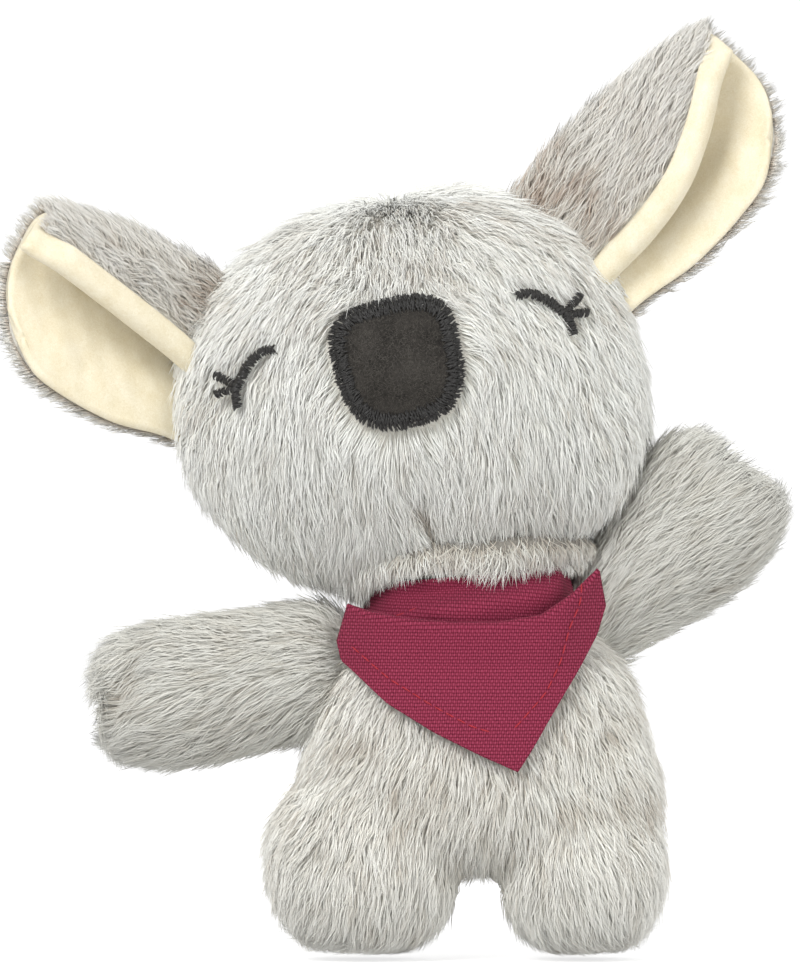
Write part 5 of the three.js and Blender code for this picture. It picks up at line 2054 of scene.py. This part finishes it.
@dataclass
class Bandana:
    """Woven cloth round the neck with a corner that hangs in front."""

    wardrobe: Wardrobe
    cloth: float = 0.7
    pitch: tuple[float, float] = (0.35, 0.53)
    top_edge: FlatLine = (
        (-8.1, 56.0), (-4.6, 54.6), (2.1, 53.2), (8.3, 52.7), (15.6, 52.7), (22.4, 53.9), (27.4, 57.4),
        (31.4, 61.6))
    low_edge: FlatLine = (
        (-9.6, 50.8), (-8.9, 47.7), (-1.9, 41.1), (5.6, 36.5), (12.7, 33.0), (18.6, 30.4), (20.6, 33.4),
        (24.1, 39.5), (27.9, 45.9), (31.0, 51.8), (32.4, 56.4))
    left_hem: FlatLine = ((-7.6, 50.1), (-1.9, 45.2), (5.2, 40.8), (11.4, 37.5), (15.7, 36.3))
    right_hem: FlatLine = (
        (28.7, 60.1), (28.6, 57.0), (26.8, 53.0), (25.4, 47.6), (23.0, 42.7), (18.6, 37.8), (17.0, 36.2))
    roll_line: FlatLine = (
        (-6.0, 53.6), (3.6, 54.9), (12.1, 56.2), (16.7, 56.8), (21.4, 57.7), (26.3, 59.2), (30.5, 61.0))
    strap_seam: FlatLine = ((-0.6, 54.6), (4.0, 56.6), (8.3, 57.9), (11.5, 58.7))
    columns: int = 96
    rows: int = 60
    tip: int = 5
    level: float = 50.0
    stitch: float = 1.65
    stitch_pitch: float = 2.0
    band_x: float = 11.0
    band_radius: float = 18.0
    band_taper: float = 3.0
    band_low: float = 51.6
    band_height: float = 9.6
    band_slope: float = 1.5

    def build(self) -> None:
        """Hanging corner and band, each with its stitches."""
        self.flap()
        self.band()

    @staticmethod
    def depth(x: Array, z: Array, v: Array) -> Array:
        """Y of the hanging corner: it rests on the body's pile, sags in soft folds and rolls at its top."""
        rest = TORSO.front(x, np.minimum(z, 47.0), 1.1)
        corner = limited((np.abs(x - 11.5) - 15) / 9)
        folds = 0.55 * np.sin(0.19 * (x + 0.75 * z)) * bell(z - 50, 10)
        pleat = 0.9 * bell(x - 24.5 - 0.55 * (z - 52), 2.6) * limited((z - 40) / 14)
        return rest - 0.5 - 0.9 * (1 - corner) * np.exp(-v * 2.2) + folds * 0.6 - pleat * 0.5 + 1.3 * corner

    def flap(self) -> None:
        """The corner with a rolled top fold; its hem and stitches go with it."""
        low, top = Line(self.low_edge), Line(self.top_edge)
        tip_share = low.far[self.tip] / low.length
        at_tip = int(round(tip_share * self.columns))
        shares = np.concatenate([
            np.linspace(0, tip_share, at_tip + 1),
            np.linspace(tip_share, 1, self.columns + 1 - at_tip)[1:],
        ])
        v = np.linspace(0, 1, self.rows + 1)[:, None, None]
        flat = top.at(shares * top.length)[None] * (1 - v) + low.at(shares * low.length)[None] * v
        y = self.depth(flat[..., 0], flat[..., 1], v[..., 0])
        front = np.stack([flat[..., 0], y, flat[..., 1]], axis=-1)
        fold = self.fold(front[0], shares)
        table = np.concatenate([fold, front], axis=0)
        piece = Bench.grid("bandana_corner_cloth", table)
        self.number_threads(piece, table, len(fold))
        Bench.face_front(piece)
        Bench.thicken(piece, self.cloth, 0.0)
        Bench.smooth(piece)
        hand_over(piece, "bandana_corner", Slot.CLOTH, self.wardrobe.cloth, "bandana_flap")
        self.hem_stitches()

    @staticmethod
    def fold(top: Array, shares: Array) -> Array:
        """Rows that roll back over the corner's top edge and hang down behind it."""
        roll, steps = 1.15, 7
        ends = np.sin(np.clip(shares, 0.02, 0.98) * math.pi) ** 0.3
        rows = []
        for drop in (9.0, 7.0, 5.0, 3.5, 2.0):
            rows.append(top + np.stack([0 * ends, 2 * roll * ends + 0.1, -drop * ends], axis=1))
        for angle in np.linspace(0, math.pi, steps + 1)[1:][::-1]:
            back, up = roll * (1 - np.cos(angle)) * ends, roll * 0.8 * np.sin(angle) * ends
            rows.append(top + np.stack([0 * ends, back, up], axis=1))
        return np.array(rows)

    @staticmethod
    def area(table: Array) -> float:
        """Area of a sheet given as a table of places, in square millimetres."""
        a, b, c, d = table[:-1, :-1], table[1:, :-1], table[1:, 1:], table[:-1, 1:]
        return float(np.linalg.norm(np.cross(c - a, d - b), axis=-1).sum() / 2)

    def number_threads(self, piece: bpy.types.Object, table: Array, first: int) -> None:
        """Gives the corner a UV layer that counts its threads; its front starts at the first row."""
        layer = piece.data.uv_layers.new(name="Threads")
        corners = np.empty(len(piece.data.loops), np.int32)
        piece.data.loops.foreach_get("vertex_index", corners)
        steps = np.linalg.norm(np.diff(table, axis=0), axis=2)
        down = np.concatenate([np.zeros((1, table.shape[1])), np.cumsum(steps, axis=0)], axis=0)
        down -= down[first]
        sideways = table[..., 0] - 0.1 * (table[..., 2] - self.level)
        in_front = np.arange(len(table))[:, None] > first
        level = np.where(in_front, self.level - table[..., 2], self.level - table[first, :, 2] + down)
        uv = np.stack([sideways, level], axis=-1).reshape(-1, 2) / np.array(self.pitch)
        layer.data.foreach_set("uv", uv[corners].astype(np.float32).ravel())

    def sew(self, threads: Threads, line: Line, first: float, lift: Callable[[Array], Array]) -> None:
        """Lays running stitches along a line.

        Args:
            threads: takes the stitches.
            line: the line across and up, as the camera sees it.
            first: where on the line the first stitch starts.
            lift: gives the places in space of places on the line.
        """
        at = np.arange(first, line.length - 1.7, self.stitch_pitch)
        starts, ends = (lift(line.at(at + shift)) for shift in (0.0, self.stitch))
        threads.lay(starts, ends, np.tile([0.0, -1.0, 0.0], (len(at), 1)), 0.12, 0.08)

    def hem_stitches(self) -> bpy.types.Object:
        """Red running stitches along both hems."""
        def on_corner(places: Array) -> Array:
            """Places on the corner's front."""
            x, z = places.T
            y = self.depth(x, z, limited((54 - z) / 22)) - self.cloth / 2 - 0.02
            return np.stack([x, y, z], axis=1)
        threads = Threads("bandana_hem_stitches")
        for hem in (self.left_hem, self.right_hem):
            self.sew(threads, Line(hem), 0.2, on_corner)
        return hand_over(threads.piece(), "bandana_corner", Slot.CLOTH, self.wardrobe.red_thread)

    def band_at(self, turn: Array, v: Array) -> Array:
        """Places of the band at a turn round the neck and a share of its height."""
        ripple = 0.3 * np.sin(7 * turn) * np.sin(math.pi * v) + 0.2 * np.sin(13 * turn + 1) * v
        x = self.band_x + (self.band_radius - self.band_taper * v + ripple) * np.cos(turn)
        z = self.band_low + self.band_height * v + self.band_slope * np.cos(turn)
        line = np.array(self.roll_line)
        height = np.interp(x, line[:, 0], line[:, 1])
        in_front = limited((x + 3) / 9) * limited(-np.sin(turn) * 1.6)
        below = np.where(z < height, 1.6 + 2.2 * limited((x - 5) / 6), 1.6)
        roll = 2.1 * bell(z - height, below) * in_front
        dip = 0.9 * bell(z - height - 3.2, 1.2) * in_front
        blunt = 1 - 0.55 * limited(np.cos(turn)) * (np.sin(turn) < 0)
        deep = np.sign(np.sin(turn)) * np.abs(np.sin(turn)) ** blunt
        y = 0.8 + (14.6 - 1.5 * v + ripple + roll - dip) * deep
        return np.stack([x, y, z], axis=-1)

    def band(self) -> None:
        """The cloth round the neck, behind the corner's fold, with a soft roll across its front."""
        columns, rows = 216, 40
        turn = np.linspace(0, 2 * math.pi, columns, endpoint=False)[None]
        table = self.band_at(turn, np.linspace(0, 1, rows + 1)[:, None])
        piece = Bench.grid("bandana_band_cloth", table, wrap=True)
        layer = piece.data.uv_layers.new(name="Threads")
        corners = np.empty(len(piece.data.loops) * 2)
        piece.data.uv_layers["Cloth"].data.foreach_get("uv", corners)
        threads = corners.reshape(-1, 2) * np.array([100.0, 10.2]) / np.array(self.pitch)
        threads[:, 1] += threads[:, 0] * 0.08
        layer.data.foreach_set("uv", threads.astype(np.float32).ravel())
        Bench.right_way_out(piece)
        Bench.thicken(piece, self.cloth, 0.0)
        Bench.smooth(piece)
        hand_over(piece, "torso", Slot.CLOTH, self.wardrobe.cloth, "bandana_collar")
        self.band_stitches()

    def band_stitches(self) -> bpy.types.Object:
        """Red stitches that cross the band's front."""
        def on_band(places: Array) -> Array:
            """Places on the band's front, found step by step from those across and up."""
            x, z = places.T
            v = np.full(len(x), 0.4)
            for _ in range(8):
                turn = -np.arccos((x - self.band_x) / (self.band_radius - self.band_taper * v))
                v = (z - self.band_low - self.band_slope * np.cos(turn)) / self.band_height
            return self.band_at(turn, v) - np.array([0, self.cloth / 2, 0])
        threads = Threads("bandana_band_stitches")
        self.sew(threads, Line(self.strap_seam), 0.1, on_band)
        return hand_over(threads.piece(), "torso", Slot.CLOTH, self.wardrobe.red_thread)


# ---------------------------------------------------------------- studio


@dataclass(frozen=True)
class Studio:
    """Pale floor and backdrop, soft lights and the camera of the photograph."""

    pixel: float = 0.1587
    frame_height: float = 967.0
    sensor: float = 36.0
    distance: float = 1500.0
    eye_level: float = 75.6
    sideways: float = 0.16
    aim: Place = (0, 0, 0.07)
    wall_distance: float = 3.0
    backdrop_size: float = 6.0

    def build(self) -> None:
        """Sets up everything that isn't the toy."""
        self.camera()
        self.backdrop()
        self.lights()
        self.world()
        bpy.context.scene.view_settings.view_transform = "Standard"

    def camera(self) -> None:
        """Level camera in front, as far away as a product photograph's."""
        data = bpy.data.cameras.new("camera")
        data.sensor_width = self.sensor
        data.lens = self.sensor * self.distance / (self.frame_height * self.pixel)
        data.clip_start, data.clip_end = 0.05, 20
        camera = Bench.put("camera", data)
        camera.location = (self.sideways * MM, -self.distance * MM, self.eye_level * MM)
        camera.rotation_euler = (math.pi / 2, 0, 0)
        bpy.context.scene.camera = camera

    @staticmethod
    def white(name: str, own_light: float, paint: float) -> bpy.types.Material:
        """Matt white that the camera and reflections see as the photograph's white."""
        material = bpy.data.materials.new(name)
        material.use_nodes = True
        material.node_tree.nodes.clear()
        nodes = Nodes(material.node_tree)
        both, mix, result = (nodes.add(kind) for kind in ("AddShader", "MixShader", "OutputMaterial"))
        plain = nodes.add("BsdfDiffuse", Color=(0.8, 0.8, 0.8, 1))
        bright = nodes.add("BsdfDiffuse", Color=(paint, paint, paint, 1))
        glow = nodes.add("Emission", Color=(1, 1, 1, 1), Strength=own_light)
        nodes.join(bright.outputs[0], both.inputs[0])
        nodes.join(glow.outputs[0], both.inputs[1])
        nodes.join(nodes.seen(), mix.inputs[0])
        nodes.join(plain.outputs[0], mix.inputs[1])
        nodes.join(both.outputs[0], mix.inputs[2])
        nodes.join(mix.outputs[0], result.inputs[0])
        return material

    def backdrop(self) -> None:
        """Floor and a wall far behind."""
        Bench.clear()
        bpy.ops.mesh.primitive_plane_add(size=self.backdrop_size, location=(0, 0, 0))
        floor = bpy.context.object
        floor.name = "floor"
        floor.data.materials.append(self.white("floor white", 0.72, 0.55))
        bpy.ops.mesh.primitive_plane_add(
            size=self.backdrop_size, location=(0, self.wall_distance, 0), rotation=(math.pi / 2, 0, 0))
        wall = bpy.context.object
        wall.name = "backdrop"
        wall.data.materials.append(self.white("backdrop white", 1.0, 0.2))
        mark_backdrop(floor, wall)

    def lights(self) -> None:
        """Key from the upper left front, a weaker fill from the right and a little from behind."""
        for name, place, size, power in (
            ("key", (-0.65, -1.3, 0.85), 0.7, 18.0),
            ("fill", (1.0, -1.15, 0.4), 0.9, 8.5),
            ("back", (0.2, 1.1, 1.2), 0.7, 4.0),
        ):
            data = bpy.data.lights.new(name, "AREA")
            data.size, data.energy = size, power
            lamp = Bench.put(name, data)
            lamp.location = place
            way = Vector(self.aim) - Vector(place)
            lamp.rotation_euler = way.to_track_quat("-Z", "Y").to_euler()

    @staticmethod
    def world() -> None:
        """Even white light from all round."""
        world = bpy.data.worlds.new("studio")
        world.use_nodes = True
        nodes = Nodes(world.node_tree)
        back = world.node_tree.nodes["Background"]
        back.inputs["Color"].default_value = (1, 1, 1, 1)
        nodes.join(nodes.plus(nodes.times(nodes.seen(), 0.4), 0.6), back.inputs["Strength"])
        bpy.context.scene.world = world


def main() -> None:
    """Builds the toy and its studio."""
    logging.basicConfig(level=logging.INFO, format="%(name)s: %(message)s", stream=sys.stdout)
    Studio().build()
    wardrobe = Wardrobe.build()
    Body(wardrobe).build()
    Neck(wardrobe).build()
    Head(wardrobe).build()
    Ear(
        wardrobe, Side.RIGHT, (-31.0, 1.5, 15.0), 42.0, 32.0, 2.0, length=37.0, drop=4.0, tip_lead=5.6,
        flaps=(16.5, 15.8, 14.6, 12.8, 10.8, 9.2)
    ).build()
    Ear(wardrobe, Side.LEFT, (31.0, 1.5, 18.6), 35.0, 8.0, 4.0).build()
    for form in ARMS.values():
        Arm(wardrobe, form).build()
    Bandana(wardrobe).build()
    Bench.clear()
    faces = sum(len(o.data.polygons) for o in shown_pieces() if o.type == "MESH")
    log.info("%d faces in all", faces)


if __name__ == "__main__":
    main()
